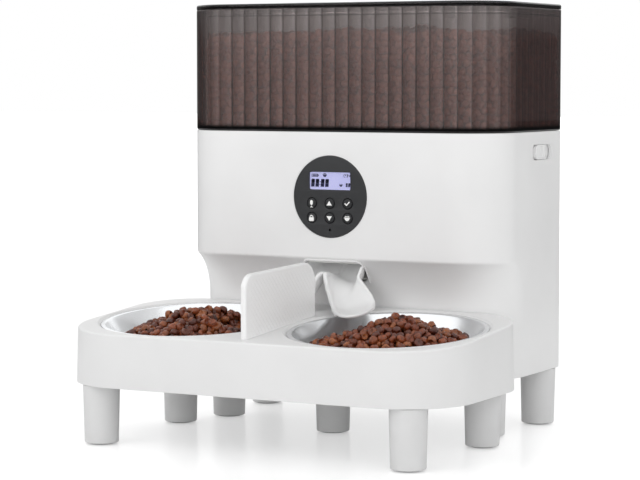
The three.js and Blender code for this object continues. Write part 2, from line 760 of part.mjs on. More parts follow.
// A button's stem stops short of the board by its travel.
function makeButton([x, z]) {
  const length = panelBack - panelFront + buttonProud;
  const stem = boardFront - seatGap - buttonTravel - (panelFront - buttonProud);
  const profile = [[0, 0], [buttonRadius - 0.9, 0.1], [buttonRadius, 0.9], [buttonRadius, length + seatGap],
    [buttonRadius + buttonFlange, length + seatGap], [buttonRadius + buttonFlange, length + 1.3],
    [buttonStemRadius, length + 1.3], [buttonStemRadius, stem], [0, stem]];
  return turned(profile, 12).rotateX(-Math.PI / 2).translate(x, panelFront - buttonProud, z);
}

const windowBox = (margin) => roundedShape(windowSize[0] + 2 * margin, windowSize[1] + 2 * margin, 1,
  0, panelZ + windowRise);
const displayFront = panelBack + seatGap;
const boardFront = displayFront + displayThickness + seatGap;

add('control_bezel', makeBezel(), panelBlack);
add('lcd_window', upright(windowBox(0), panelFront + 0.5, windowThickness, 3), windowClear);
add('display_module', upright(windowBox(displayMargin), displayFront, displayThickness, 2), displayFace);
add('circuit_board', upright(circleShape(boardRadius, 0, panelZ, 24), boardFront, boardThickness), boardGreen);
add('microphone', upright(circleShape(micRadius, 0, panelZ - micDrop, 12), displayFront, displayThickness), steel);
buttonPlaces.forEach((place, i) => add(`button_${i + 1}`, makeButton(place), buttonRubber));

// ---------------------------------------------------------------- tank latches

function makeLatch(side) {
  const [length, height, thickness] = [latchSlot[0] + 2 * latchTravel + 2, latchPlateHeight, latchPlateThickness];
  const inner = -(bodyWall + seatGap + 0.1);
  const knobShape = roundedShape(latchKnobLength, latchSlot[1] - 2 * seatGap, 4);
  const drawn = join(upright(knobShape, side > 0 ? inner - 0.5 : -0.1, -inner + 0.6, 2),
    upright(roundedShape(length, height, 3), side > 0 ? inner - thickness : -inner, thickness, 1));
  return closed(onSide(side > 0 ? drawn.rotateZ(Math.PI) : drawn.rotateZ(Math.PI), side, bodyWidth / 2));
}

// ---------------------------------------------------------------- tank and lid

// The outline at an inset, resampled evenly with scallops between inward ridges.
function flutedOutline(inset) {
  const base = roundedOutline(lipBox, inset, 24, 6);
  const lengths = base.map(([x, y], i) => {
    const [nx, ny] = base[(i + 1) % base.length];
    return Math.hypot(nx - x, ny - y);
  });
  const around = lengths.reduce((sum, length) => sum + length, 0);
  const pointsPerFlute = 3;
  const flutes = Math.round(around / flutePitch);
  const count = flutes * pointsPerFlute;
  const outline = [];
  let [edge, done] = [0, 0];
  for (let i = 0; i < count; i += 1) {
    const target = (around * i) / count;
    while (done + lengths[edge] < target) {
      done += lengths[edge];
      edge += 1;
    }
    const [[ax, ay], [bx, by]] = [base[edge], base[(edge + 1) % base.length]];
    const t = (target - done) / lengths[edge];
    const [nx, ny] = [-(by - ay) / lengths[edge], (bx - ax) / lengths[edge]];
    const rise = fluteDepth * (1 - Math.sin((Math.PI * (i % pointsPerFlute)) / pointsPerFlute));
    outline.push([ax + (bx - ax) * t + nx * rise, ay + (by - ay) * t + ny * rise]);
  }
  return outline;
}

// A ring of the same corners drawn onto a circle round the drum's axis.
const roundRing = (outline, radius, z) => outline.map(([x, y]) => {
  const angle = Math.atan2(y - drumY, x);
  return [radius * Math.cos(angle), drumY + radius * Math.sin(angle), z];
});

const neckInset = bodyWall + 2 * seatGap;
const mouthZ = drumTop + seatGap;

function makeTank() {
  const wallTop = tankZ + tankHeight;
  const neck = roundedOutline(lipBox, neckInset, 7, 2, 9);
  const funnel = (outline, inset, top) => [
    roundRing(outline, drumRadius - inset, mouthZ),
    roundRing(outline, drumRadius - inset, mouthZ + 4),
    ringAt(outline, seamZ - neckDepth + inset / 2),
    ringAt(outline, top),
  ];
  const outside = join(prism(roundedOutline(lipBox), tankZ, wallTop), loft(funnel(neck, 0, tankZ + 1)));
  const throat = roundedOutline(lipBox, neckInset + funnelWall, 7, 2, 9);
  const floorZ = tankZ + plateThickness;
  const inside = join(
    loft(stretchedDown(funnel(throat, funnelWall, floorZ + 0.5), 1)),
    prism(flutedOutline(tankWall), floorZ, wallTop + 1));
  return cut(outside, inside);
}

const stretchedDown = (rings, reach) => [rings[0].map(([x, y, z]) => [x, y, z - reach]), ...rings];

function makeLid() {
  const top = lidZ + lidRimHeight;
  const edge = 1.6;
  const slab = loft([
    ringAt(roundedOutline(lipBox), lidZ),
    ringAt(roundedOutline(lipBox), top - edge),
    ringAt(roundedOutline(lipBox, edge * 0.3), top - edge * 0.3),
    ringAt(roundedOutline(lipBox, edge), top),
  ]);
  const plugInset = gasketInset + gasketWidth + seatGap;
  const plug = prism(roundedOutline(lipBox, plugInset), lidZ - lidPlugDepth, lidZ + 1);
  const pocket = prism(roundedOutline(lipBox, plugInset + lidPlugWall), lidZ - lidPlugDepth - 1,
    top - lidTopThickness);
  return cut(join(slab, plug), pocket);
}

function makeGasket() {
  const z = lidZ - lidPlugDepth + 2;
  return cut(prism(roundedOutline(lipBox, gasketInset), z, z + gasketHeight),
    prism(roundedOutline(lipBox, gasketInset + gasketWidth), z - 1, z + gasketHeight + 1));
}

function makeDesiccantBox() {
  const [width, depth, height] = desiccantSize;
  const [x, y] = desiccantPlace;
  const top = lidZ + lidRimHeight - lidTopThickness - seatGap;
  const outline = roundedOutline({
    width, front: y - depth / 2, rear: y + depth / 2, frontRadius: 5, rearRadius: 5,
  }, 0, 3, 3);
  return prism(outline, top - height, top).translate(x, 0, 0);
}

add('tank', makeTank(), smokedPlastic);
add('lid', makeLid(), smokedLid);
add('lid_gasket', makeGasket(), silicone);
add('desiccant_box', makeDesiccantBox(), smokedLid);
add('latch_right', makeLatch(1), whiteAbs);
add('latch_left', makeLatch(-1), whiteAbs);

// ---------------------------------------------------------------- tray, divider and bowls

const trayOutline = {
  width: trayWidth, front: trayFront, rear: trayRear,
  frontRadius: trayFrontRadius, rearRadius: trayRearRadius,
};

// The frame of the tray's top: its origin on the bowls' centre line, tilted with the deck.
function onDeck(geometry, x = 0) {
  return geometry.translate(x, 0, 0).rotateX(THREE.MathUtils.degToRad(trayTilt))
    .translate(0, bowlY, trayTopAt(bowlY));
}

const seatRadius = bowlRimRadius + 2 * seatGap;
const wellRadius = bowlMouthRadius + 1.2;

function bowlSeatTool(x) {
  const profile = [[0, -trayDeck - 6], [wellRadius, -trayDeck - 6], [wellRadius, -seatDepth],
    [seatRadius, -seatDepth], [seatRadius, -seatChamfer * 0.8], [seatRadius + seatChamfer, 1], [0, 1]];
  return onDeck(turned(profile, 40), x);
}

function dividerOutline(grow) {
  const front = trayFront + dividerSetback;
  const rear = front + dividerLength;
  const slope = Math.tan(THREE.MathUtils.degToRad(dividerTopTilt));
  const middle = (front + rear) / 2;
  const topAt = (y) => trayTopAt(middle) + dividerHeight + (y - middle) * slope;
  return { front: front - grow, rear: rear + grow, topAt };
}

function makeDivider() {
  const { front, rear, topAt } = dividerOutline(0);
  const shape = new THREE.Shape();
  shape.moveTo(front, trayTopAt(front) - dividerFoot);
  shape.lineTo(rear, trayTopAt(rear) - dividerFoot);
  shape.lineTo(rear, topAt(rear) - dividerRearRadius);
  shape.absarc(rear - dividerRearRadius, topAt(rear) - dividerRearRadius, dividerRearRadius, 0, Math.PI / 2, false);
  shape.lineTo(front + dividerFrontRadius, topAt(front));
  shape.absarc(front + dividerFrontRadius, topAt(front) - dividerFrontRadius, dividerFrontRadius,
    Math.PI / 2, Math.PI, false);
  return new THREE.ExtrudeGeometry(shape, { depth: dividerThickness, bevelEnabled: false, curveSegments: 7 })
    .applyMatrix4(new THREE.Matrix4().makeBasis(
      new THREE.Vector3(0, 1, 0), new THREE.Vector3(0, 0, 1), new THREE.Vector3(1, 0, 0)))
    .translate(-dividerThickness / 2, 0, 0);
}

function dividerGroove() {
  const { front, rear } = dividerOutline(seatGap);
  const half = dividerThickness / 2 + seatGap;
  const depth = dividerFoot + seatGap;
  const outline = [[-half, front], [half, front], [half, rear], [-half, rear]];
  return loft([ringAt(outline, (y) => trayTopAt(y) - depth), ringAt(outline, (y) => trayTopAt(y) + 2)]);
}

function makeTray() {
  const edge = (inset, drop) => ringAt(roundedOutline(trayOutline, inset, 9, 7), (y) => trayTopAt(y) - drop);
  const r = trayEdgeRadius;
  const outer = loft([
    ringAt(roundedOutline(trayOutline, 0, 9, 7), legHeight),
    edge(trayDraft, r), edge(trayDraft + r * 0.13, r * 0.5),
    edge(trayDraft + r * 0.45, r * 0.14), edge(trayDraft + r, 0),
  ]);
  const hollow = roundedOutline(trayOutline, trayWall + trayDraft, 9, 7);
  const inner = loft([ringAt(roundedOutline(trayOutline, trayWall, 9, 7), legHeight - 1),
    ringAt(roundedOutline(trayOutline, trayWall, 9, 7), legHeight + plateThickness + 1),
    ringAt(hollow, (y) => trayTopAt(y) - trayDeck)]);
  const tabs = [-tabX, tabX].map((x) => block(x - tabWidth / 2, x + tabWidth / 2,
    trayRear - trayWall - trayDraft, trayRear + tabReach, tabZ, tabZ + tabThickness));
  const seats = [-1, 1].map((side) => bowlSeatTool((side * bowlSpacing) / 2));
  return join(cut(outer, inner, ...seats, dividerGroove()), ...tabs);
}

function makeTrayBase() {
  const plate = prism(roundedOutline(trayOutline, trayWall + seatGap, 9, 7), legHeight, legHeight + plateThickness);
  return cut(plate, ...spigotHoles(legPlaces.tray));
}

function makeBowl(side) {
  const rim = -seatDepth + seatGap;
  const t = bowlSheet;
  const profile = [
    [0, -bowlDepth], [bowlFloorRadius - 2, -bowlDepth], [bowlFloorRadius + 5, -bowlDepth + 3],
    [bowlMouthRadius - 1.5, rim - 3], [bowlMouthRadius, rim],
    [bowlRimRadius, rim], [bowlRimRadius, rim + t], [bowlMouthRadius - t, rim + t],
    [bowlMouthRadius - 1.5 - t, rim - 3 + t], [bowlFloorRadius + 4.6, -bowlDepth + 3 + t],
    [bowlFloorRadius - 2.4, -bowlDepth + t], [0, -bowlDepth + t],
  ];
  return onDeck(turned(profile, 34), (side * bowlSpacing) / 2);
}

add('tray_shell', makeTray(), whiteAbs);
add('tray_base', makeTrayBase(), whiteAbs);
add('divider', makeDivider(), whiteAbs);
add('bowl_left', makeBowl(-1), steel);
add('bowl_right', makeBowl(1), steel);

// ---------------------------------------------------------------- legs

function makeLeg([x, y]) {
  const top = legHeight - seatGap;
  const profile = [
    [0, padThickness + seatGap], [padRadius + seatGap, padThickness + seatGap], [padRadius + seatGap, padReach],
    [legFootRadius, padReach], [legTopRadius, top], [legSpigotRadius, top],
    [legSpigotRadius, top + legSpigotHeight], [0, top + legSpigotHeight],
  ];
  return turned(profile, 14).translate(x, y, 0);
}

[...legPlaces.tray, ...legPlaces.body].forEach((place, i) => {
  add(`leg_${i + 1}`, makeLeg(place), whiteAbs);
  add(`foot_pad_${i + 1}`, rod(padRadius, 0, padThickness, ...place, 14), footRubber);
});

export default feeder;
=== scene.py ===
import math
import random

import bmesh
import bpy
import numpy as np
from mathutils import Euler, Matrix, Vector


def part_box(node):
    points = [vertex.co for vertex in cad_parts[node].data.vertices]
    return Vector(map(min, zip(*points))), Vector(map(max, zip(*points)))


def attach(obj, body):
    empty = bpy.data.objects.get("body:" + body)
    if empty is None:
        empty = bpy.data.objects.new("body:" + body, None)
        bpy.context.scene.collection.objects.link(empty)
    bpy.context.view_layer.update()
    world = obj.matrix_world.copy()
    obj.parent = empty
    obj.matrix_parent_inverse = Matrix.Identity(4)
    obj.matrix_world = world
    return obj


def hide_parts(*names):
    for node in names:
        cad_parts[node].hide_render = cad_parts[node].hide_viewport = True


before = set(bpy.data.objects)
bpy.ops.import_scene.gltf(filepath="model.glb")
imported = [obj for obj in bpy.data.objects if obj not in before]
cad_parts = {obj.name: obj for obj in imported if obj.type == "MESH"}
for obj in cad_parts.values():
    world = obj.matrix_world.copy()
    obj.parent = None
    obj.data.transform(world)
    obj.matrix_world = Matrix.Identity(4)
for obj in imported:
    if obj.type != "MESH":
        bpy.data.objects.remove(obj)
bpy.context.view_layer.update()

mm = 0.001  # pieces are drawn in millimetres and finished in metres


def toLinear(hexColour):
    channels = [int(hexColour[i:i + 2], 16) / 255 for i in (1, 3, 5)]
    return (*[c / 12.92 if c <= 0.04045 else ((c + 0.055) / 1.055) ** 2.4 for c in channels], 1.0)


def addNode(tree, kind, settings=None, links=None):
    node = tree.nodes.new(kind)
    for name, value in (settings or {}).items():
        if name == "stops":  # a ramp's (position, colour) pairs
            stops = node.color_ramp.elements
            stops[0].position, stops[1].position = value[0][0], value[-1][0]
            for position, colour in value[1:-1]:
                stops.new(position).color = toLinear(colour)
            stops[0].color, stops[-1].color = toLinear(value[0][1]), toLinear(value[-1][1])
        elif isinstance(name, int) or name in node.inputs:
            node.inputs[name].default_value = value
        else:
            setattr(node, name, value)
    for name, source in (links or {}).items():
        tree.links.new(source, node.inputs[name])
    return node


def everyMm(size):
    return 1.0 / (size * mm)  # a texture's scale for a feature of that many millimetres


def spread(colours, start=0.0, stop=1.0):  # the stops of a ramp
    return list(zip(np.linspace(start, stop, len(colours)).tolist(), colours))


def between(limits, source=(0.0, 1.0)):  # what a range is mapped to, and from
    return {"From Min": source[0], "From Max": source[1], "To Min": limits[0], "To Max": limits[1]}


drift = (0.3, 0.7)  # the part of a noise in which one shade turns to the next


def startMaterial(name):
    material = bpy.data.materials.new(name)
    material.use_nodes = True
    tree = material.node_tree
    tree.nodes.clear()
    place = addNode(tree, "ShaderNodeTexCoord").outputs["Object"]
    return material, tree, place


def finishMaterial(material, tree, shader):
    addNode(tree, "ShaderNodeOutputMaterial", None, {"Surface": shader})
    return material


# A moulded or machined solid: colour drifting between two near shades, roughness in patches, and a fine grain
# given by its width and height in millimetres and its strength.
def solidMaterial(name, finish):
    material, tree, place = startMaterial(name)
    grainMm, heightMm, strength = finish["grain"]
    patches = addNode(tree, "ShaderNodeTexNoise", {"Scale": everyMm(finish["patchMm"]), "Detail": 3.0},
                      {"Vector": place}).outputs[0]
    grain = addNode(tree, "ShaderNodeTexNoise", {"Scale": everyMm(grainMm), "Detail": 2.0},
                    {"Vector": place}).outputs[0]
    bump = addNode(tree, "ShaderNodeBump", {"Strength": strength, "Distance": heightMm * mm},
                   {"Height": grain}).outputs[0]
    shader = addNode(tree, "ShaderNodeBsdfPrincipled", {
        "Metallic": finish.get("metallic", 0.0),
        "IOR": finish.get("ior", 1.5),
    }, {
        "Base Color": addNode(tree, "ShaderNodeValToRGB", {"stops": spread(finish["colours"], *drift)},
                              {"Fac": patches}).outputs[0],
        "Roughness": addNode(tree, "ShaderNodeMapRange", between(finish["roughness"]), {"Value": patches}).outputs[0],
        "Normal": bump,
    })
    return finishMaterial(material, tree, shader.outputs[0])


# Satin moulded ABS: soft wide highlights, and an orange-peel grain that only shows at a grazing angle.
whiteAbs = solidMaterial("whiteMouldedAbs", {
    "colours": ("#e8e8e8", "#ececec"), "roughness": (0.30, 0.38), "ior": 1.54,
    "patchMm": 60, "grain": (2.4, 0.02, 0.25),
})
# The tray is a separate moulding from a duller mould; its colour, a shade under the housing, is painted shade.
trayAbsWithPaintedShade = solidMaterial("whiteTrayAbsWithPaintedShade", {
    "colours": ("#e1e1e1", "#e5e5e5"), "roughness": (0.34, 0.42), "ior": 1.54,
    "patchMm": 60, "grain": (2.4, 0.02, 0.25),
})
# Legs moulded in a matt polypropylene with hardly any shine; their grey is painted shade for the shade under the tray.
legPolypropyleneWithPaintedShade = solidMaterial("mattPolypropyleneWithPaintedShade", {
    "colours": ("#d6d6d6", "#dadada"), "roughness": (0.5, 0.6), "ior": 1.49,
    "patchMm": 20, "grain": (1.2, 0.02, 0.3),
})
# The divider is drawn a brighter white than the housing, as painted light, so that its edge stands out from the tray.
dividerAbsWithPaintedLight = solidMaterial("whiteAbsWithPaintedLight", {
    "colours": ("#eeeeee", "#f1f1f1"), "roughness": (0.34, 0.42), "ior": 1.54,
    "patchMm": 40, "grain": (2.0, 0.02, 0.25),
})
# ABS without the polished mould: a flatter, slightly warmer white inside the housing.
innerAbs = solidMaterial("innerMouldedAbs", {
    "colours": ("#dcdcda", "#e2e2df"), "roughness": (0.45, 0.55), "ior": 1.54,
    "patchMm": 30, "grain": (1.6, 0.03, 0.3),
})
# Charcoal ABS with a spark-eroded mould finish: a dull sheen broken by fine grain.
panelAbs = solidMaterial("charcoalTexturedAbs", {
    "colours": ("#292a2c", "#2d2e30"), "roughness": (0.42, 0.5), "ior": 1.54,
    "patchMm": 12, "grain": (0.7, 0.03, 0.35),
})
# Silicone rubber keys: darker and duller than the panel around them.
keyRubber = solidMaterial("blackSiliconeKey", {
    "colours": ("#28292b", "#2c2d2f"), "roughness": (0.5, 0.62), "ior": 1.43,
    "patchMm": 5, "grain": (0.6, 0.02, 0.3),
})
# Pad-printed white ink on the keys: flat and slightly rough.
keyInk = solidMaterial("whitePadPrintInk", {
    "colours": ("#f0f0ee", "#f6f6f4"), "roughness": (0.5, 0.6), "ior": 1.5,
    "patchMm": 3, "grain": (0.5, 0.01, 0.2),
})
# Moulded silicone seal: dark grey with a soft dusty look.
sealSilicone = solidMaterial("greySiliconeSeal", {
    "colours": ("#353435", "#3e3d3e"), "roughness": (0.6, 0.75), "ior": 1.43,
    "patchMm": 8, "grain": (0.8, 0.03, 0.3),
})
# Thermoplastic rubber foot pads: matt grey with a rubbed grain.
footRubber = solidMaterial("greyFootRubber", {
    "colours": ("#868889", "#959798"), "roughness": (0.75, 0.88), "ior": 1.5,
    "patchMm": 6, "grain": (0.9, 0.06, 0.5),
})
# Acetal gears: milky ivory, faintly waxy.
gearAcetal = solidMaterial("ivoryAcetal", {
    "colours": ("#e6e0cf", "#ece7d9"), "roughness": (0.35, 0.42), "ior": 1.48,
    "patchMm": 10, "grain": (1.2, 0.01, 0.2),
})
# Zinc-plated pressed steel of the motor can: bright in patches, finely scratched.
motorSteel = solidMaterial("zincPlatedSteel", {
    "colours": ("#a3a6a9", "#b4b7ba"), "roughness": (0.28, 0.42), "metallic": 1.0, "ior": 1.5,
    "patchMm": 7, "grain": (0.8, 0.02, 0.3),
})
# Shrink film on a cell: smooth and fairly glossy.
cellFilm = solidMaterial("blueShrinkFilm", {
    "colours": ("#37455a", "#435269"), "roughness": (0.25, 0.35), "ior": 1.5,
    "patchMm": 14, "grain": (3.0, 0.03, 0.25),
})
# Solder mask on glass fibre: deep green with a slight weave under it.
boardMask = solidMaterial("greenSolderMask", {
    "colours": ("#1c5436", "#24633f"), "roughness": (0.3, 0.42), "ior": 1.5,
    "patchMm": 3, "grain": (0.8, 0.03, 0.3),
})
# Nylon of the power inlet and the speaker basket: near black, faintly grainy.
socketNylon = solidMaterial("blackNylon", {
    "colours": ("#1b1b1d", "#222224"), "roughness": (0.38, 0.5), "ior": 1.53,
    "patchMm": 6, "grain": (0.7, 0.03, 0.3),
})


# Deep-drawn stainless steel, polished on a lathe: the highlight is pulled out along fine rings.
def bowlSteelMaterial(name, centre, finish):
    material, tree, place = startMaterial(name)
    offset = addNode(tree, "ShaderNodeVectorMath", {"operation": "SUBTRACT", 1: centre}, {0: place}).outputs[0]
    parts = addNode(tree, "ShaderNodeSeparateXYZ", None, {0: offset})
    flat = addNode(tree, "ShaderNodeCombineXYZ", None, {"X": parts.outputs["X"], "Y": parts.outputs["Y"]}).outputs[0]
    radius = addNode(tree, "ShaderNodeVectorMath", {"operation": "LENGTH"}, {0: flat}).outputs["Value"]
    ring = addNode(tree, "ShaderNodeCombineXYZ", None, {"X": radius, "Y": parts.outputs["Z"]}).outputs[0]
    lines = addNode(tree, "ShaderNodeTexNoise", {"Scale": everyMm(finish["ringMm"]), "Detail": 3.0},
                    {"Vector": ring}).outputs[0]
    patches = addNode(tree, "ShaderNodeTexNoise", {"Scale": everyMm(finish["patchMm"]), "Detail": 2.0},
                      {"Vector": place}).outputs[0]
    bump = addNode(tree, "ShaderNodeBump", {
        "Strength": finish["ringStrength"], "Distance": finish["ringHeightMm"] * mm,
    }, {"Height": lines}).outputs[0]
    tangent = addNode(tree, "ShaderNodeVectorMath", {"operation": "CROSS_PRODUCT", 1: (0.0, 0.0, 1.0)},
                      {0: flat}).outputs[0]
    shader = addNode(tree, "ShaderNodeBsdfPrincipled", {"Metallic": 1.0, "Anisotropic": finish["anisotropy"]}, {
        "Base Color": addNode(tree, "ShaderNodeValToRGB", {"stops": spread(finish["colours"], *drift)},
                              {"Fac": patches}).outputs[0],
        "Roughness": addNode(tree, "ShaderNodeMapRange", between(finish["roughness"]), {"Value": lines}).outputs[0],
        "Normal": bump,
        "Tangent": tangent,
    })
    return finishMaterial(material, tree, shader.outputs[0])


# Clear tinted plastic that bends what is behind it and lets the lamps through to what it holds.
def smokedMaterial(name, finish):
    material, tree, place = startMaterial(name)
    patches = addNode(tree, "ShaderNodeTexNoise", {"Scale": everyMm(finish["patchMm"]), "Detail": 2.0},
                      {"Vector": place}).outputs[0]
    depth = patches
    if "fluted" in finish:
        # the tank's attribute carries its flute depth and its painted shade
        depth = addNode(tree, "ShaderNodeAttribute", {"attribute_name": finish["fluted"]}).outputs["Fac"]
    colour = addNode(tree, "ShaderNodeValToRGB", {"stops": spread(finish["colours"])}, {"Fac": depth}).outputs[0]
    if "edgeOn" in finish:  # looked at along the sheet, more plastic lies in the way
        facing = addNode(tree, "ShaderNodeLayerWeight", {"Blend": 0.5}).outputs["Facing"]
        lean = addNode(tree, "ShaderNodeMapRange", between((0.0, 1.0), (0.2, 0.6)), {"Value": facing}).outputs[0]
        colour = addNode(tree, "ShaderNodeMix", {
            "data_type": "RGBA", "blend_type": "MULTIPLY", 7: toLinear(finish["edgeOn"]),
        }, {0: lean, 6: colour}).outputs[2]
    glass = addNode(tree, "ShaderNodeBsdfPrincipled", {
        "Transmission Weight": 1.0 - finish.get("haze", 0.0), "IOR": finish["ior"],
    }, {
        "Base Color": colour,
        "Roughness": addNode(tree, "ShaderNodeMapRange", between(finish["roughness"]), {"Value": patches}).outputs[0],
    }).outputs[0]
    through = addNode(tree, "ShaderNodeBsdfTransparent", {"Color": toLinear(finish["shadow"])}).outputs[0]
    shadowRay = addNode(tree, "ShaderNodeLightPath").outputs["Is Shadow Ray"]
    mixed = addNode(tree, "ShaderNodeMixShader", None, {0: shadowRay, 1: glass, 2: through}).outputs[0]
    return finishMaterial(material, tree, mixed)


# Smoked polystyrene tank wall: brown-grey and glossy, darker where a flute is thick. Its near-black foot and its
# darkening towards the bottom are painted shade.
smokedTankWithPaintedShade = smokedMaterial("smokedPlasticWithPaintedShade", {
    # the last, near-black stop is painted shade at the tank's foot
    "fluted": "flute", "colours": ("#fff8f7", "#cabfbd", "#1c1a1a"), "roughness": (0.02, 0.03), "ior": 1.49,
    "patchMm": 50, "shadow": "#fffbfb", "edgeOn": "#6a5a5a", "haze": 0.06,
})
# The same plastic in a heavier tint for the lid.
smokedLid = smokedMaterial("darkSmokedPlastic", {
    "colours": ("#565252", "#5c5858"), "roughness": (0.05, 0.09), "ior": 1.49, "patchMm": 40, "shadow": "#8a8686",
})
# The lid's plug is moulded clear: only its edges show.
clearPlug = smokedMaterial("clearPolystyrene", {
    "colours": ("#f6f5f5", "#f9f8f8"), "roughness": (0.01, 0.03), "ior": 1.49, "patchMm": 40, "shadow": "#f4f3f3",
})
# Clear acrylic over the display.
windowAcrylic = smokedMaterial("clearAcrylic", {
    "colours": ("#f2f2f8", "#f6f6fa"), "roughness": (0.01, 0.03), "ior": 1.49, "patchMm": 20, "shadow": "#f4f4f8",
})


# A liquid crystal face in an even lavender, with a painted glow that stands in for light falling on it.
def displayMaterial():
    # the glow and its strength are a painted glow, not a lamp
    finish = {"colours": ("#bdbde2", "#c8c8e8"), "glow": "#c6c8ee", "strength": 0.52, "roughness": (0.3, 0.4),
              "patchMm": 15}
    material, tree, place = startMaterial("displayWithPaintedGlow")
    patches = addNode(tree, "ShaderNodeTexNoise", {"Scale": everyMm(finish["patchMm"]), "Detail": 1.0},
                      {"Vector": place}).outputs[0]
    shader = addNode(tree, "ShaderNodeBsdfPrincipled", {
        "IOR": 1.5, "Emission Color": toLinear(finish["glow"]), "Emission Strength": finish["strength"],
    }, {
        "Base Color": addNode(tree, "ShaderNodeValToRGB", {"stops": spread(finish["colours"], *drift)},
                              {"Fac": patches}).outputs[0],
        "Roughness": addNode(tree, "ShaderNodeMapRange", between(finish["roughness"]), {"Value": patches}).outputs[0],
    }).outputs[0]
    return finishMaterial(material, tree, shader)


displayPaintedGlow = displayMaterial()
# Liquid crystal segments: ink blue, flat.
segmentInk = solidMaterial("displaySegments", {
    "colours": ("#26264e", "#2c2c58"), "roughness": (0.5, 0.6), "ior": 1.5,
    "patchMm": 3, "grain": (0.5, 0.01, 0.1),
})


# Baked kibble: each piece its own brown, with painted shade darkening its crumb hollows, and a slight fatty shine.
def kibbleMaterial(name, finish):
    material, tree, place = startMaterial(name)
    island = addNode(tree, "ShaderNodeNewGeometry").outputs["Random Per Island"]
    crumbs = addNode(tree, "ShaderNodeTexNoise", {
        "Scale": everyMm(finish["crumbMm"]), "Detail": 4.0, "Roughness": 0.65,
    }, {"Vector": place}).outputs[0]
    pieceColour = addNode(tree, "ShaderNodeValToRGB", {"stops": spread(finish["browns"])}, {"Fac": island}).outputs[0]
    # painted shade: the low, hollow parts of the crumb noise are darkened
    paintedHollowShade = addNode(tree, "ShaderNodeMapRange", between((finish["paintedHollowShadeLevel"], 1.0), drift), {"Value": crumbs}).outputs[0]
    colour = addNode(tree, "ShaderNodeMix", {"data_type": "RGBA", "blend_type": "MULTIPLY", 0: 1.0},
                     {6: pieceColour, 7: paintedHollowShade}).outputs[2]
    bump = addNode(tree, "ShaderNodeBump", {"Strength": 0.7, "Distance": finish["crumbHeightMm"] * mm},
                   {"Height": crumbs}).outputs[0]
    shader = addNode(tree, "ShaderNodeBsdfPrincipled", {
        "IOR": 1.45, "Coat Weight": finish.get("fat", 0.0), "Coat Roughness": 0.25,
    }, {
        "Base Color": colour,
        "Roughness": addNode(tree, "ShaderNodeMapRange", between(finish["roughness"]), {"Value": crumbs}).outputs[0],
        "Normal": bump,
    }).outputs[0]
    return finishMaterial(material, tree, shader)


kibbleBrown = kibbleMaterial("bakedKibble", {
    "browns": ("#4a1a0d", "#7a361b", "#a05028", "#622813", "#b26636", "#7e391e"), "paintedHollowShadeLevel": 0.3,
    "crumbMm": 2.0, "crumbHeightMm": 0.45, "roughness": (0.32, 0.48), "fat": 0.22,
})
# The same food behind the smoked wall, packed tight: lighter and more even, as painted light for the food seen through
# the wall.
kibbleStoredPaintedLight = kibbleMaterial("packedKibbleWithPaintedLight", {
    "browns": ("#77473a", "#835142", "#8e5c4c", "#7c493b"), "paintedHollowShadeLevel": 0.8,
    "crumbMm": 1.8, "crumbHeightMm": 0.3, "roughness": (0.5, 0.65),
})


def arcPoints(centre, radius, start, stop, steps):
    return [(centre[0] + radius * math.cos(math.radians(start + (stop - start) * i / steps)),
             centre[1] + radius * math.sin(math.radians(start + (stop - start) * i / steps)))
            for i in range(steps + 1)]


# A rounded rectangle as a closed run of points, anticlockwise from its front right corner.
def roundedOutline(box, inset, frontSteps=20, rearSteps=12):
    x, y0, y1 = box["width"] / 2 - inset, box["front"] + inset, box["rear"] - inset
    front = max(box["frontRadius"] - inset, 0.6)
    rear = max(box["rearRadius"] - inset, 0.6)
    return [*arcPoints((x - front, y0 + front), front, -90, 0, frontSteps),
            *arcPoints((x - rear, y1 - rear), rear, 0, 90, rearSteps),
            *arcPoints((rear - x, y1 - rear), rear, 90, 180, rearSteps),
            *arcPoints((front - x, y0 + front), front, 180, 270, frontSteps)]


# The same run cut into a number of equal steps.
def evenly(outline, count):
    points = np.array([*outline, outline[0]])
    run = np.concatenate([[0], np.cumsum(np.hypot(*np.diff(points, axis=0).T))])
    at = np.arange(count) * run[-1] / count
    return [(float(x), float(y)) for x, y in zip(np.interp(at, run, points[:, 0]), np.interp(at, run, points[:, 1]))]


def ringAt(outline, height):
    return [(x, y, height(y) if callable(height) else height) for x, y in outline]


# Vertices and faces of a skin through rings of equally many points. ends: "capped", "open" or "joined".
def skin(rings, ends="capped"):
    count = len(rings[0])
    vertices = [point for ring in rings for point in ring]
    faces = []
    last = len(rings) if ends == "joined" else len(rings) - 1
    for k in range(last):
        a, b = k * count, ((k + 1) % len(rings)) * count
        for i in range(count):
            j = (i + 1) % count
            faces.append((a + i, a + j, b + j, b + i))
    if ends == "capped":
        faces.append(tuple(range(count))[::-1])
        faces.append(tuple(range(len(vertices) - count, len(vertices))))
    return vertices, faces


# A profile of (radius, height) pairs turned round the upright axis; radius 0 closes it.
def turnedSkin(profile, segments):
    vertices, faces, rows = [], [], []
    for radius, z in profile:
        if radius < 1e-6:
            rows.append([len(vertices)])
            vertices.append((0.0, 0.0, z))
        else:
            rows.append(list(range(len(vertices), len(vertices) + segments)))
            vertices += [(radius * math.cos(2 * math.pi * i / segments),
                          radius * math.sin(2 * math.pi * i / segments), z) for i in range(segments)]
    for lower, upper in zip(rows, rows[1:]):
        for i in range(segments):
            j = (i + 1) % segments
            corners = [lower[i % len(lower)], lower[j % len(lower)], upper[j % len(upper)], upper[i % len(upper)]]
            face = list(dict.fromkeys(corners))
            if len(face) > 2:
                faces.append(tuple(face))
    return vertices, faces


def joinSkins(*skins):
    vertices, faces = [], []
    for more, moreFaces in skins:
        start = len(vertices)
        vertices += list(more)
        faces += [tuple(v + start for v in face) for face in moreFaces]
    return vertices, faces


def moved(skinned, matrix):
    return [tuple(matrix @ Vector(v)) for v in skinned[0]], skinned[1]


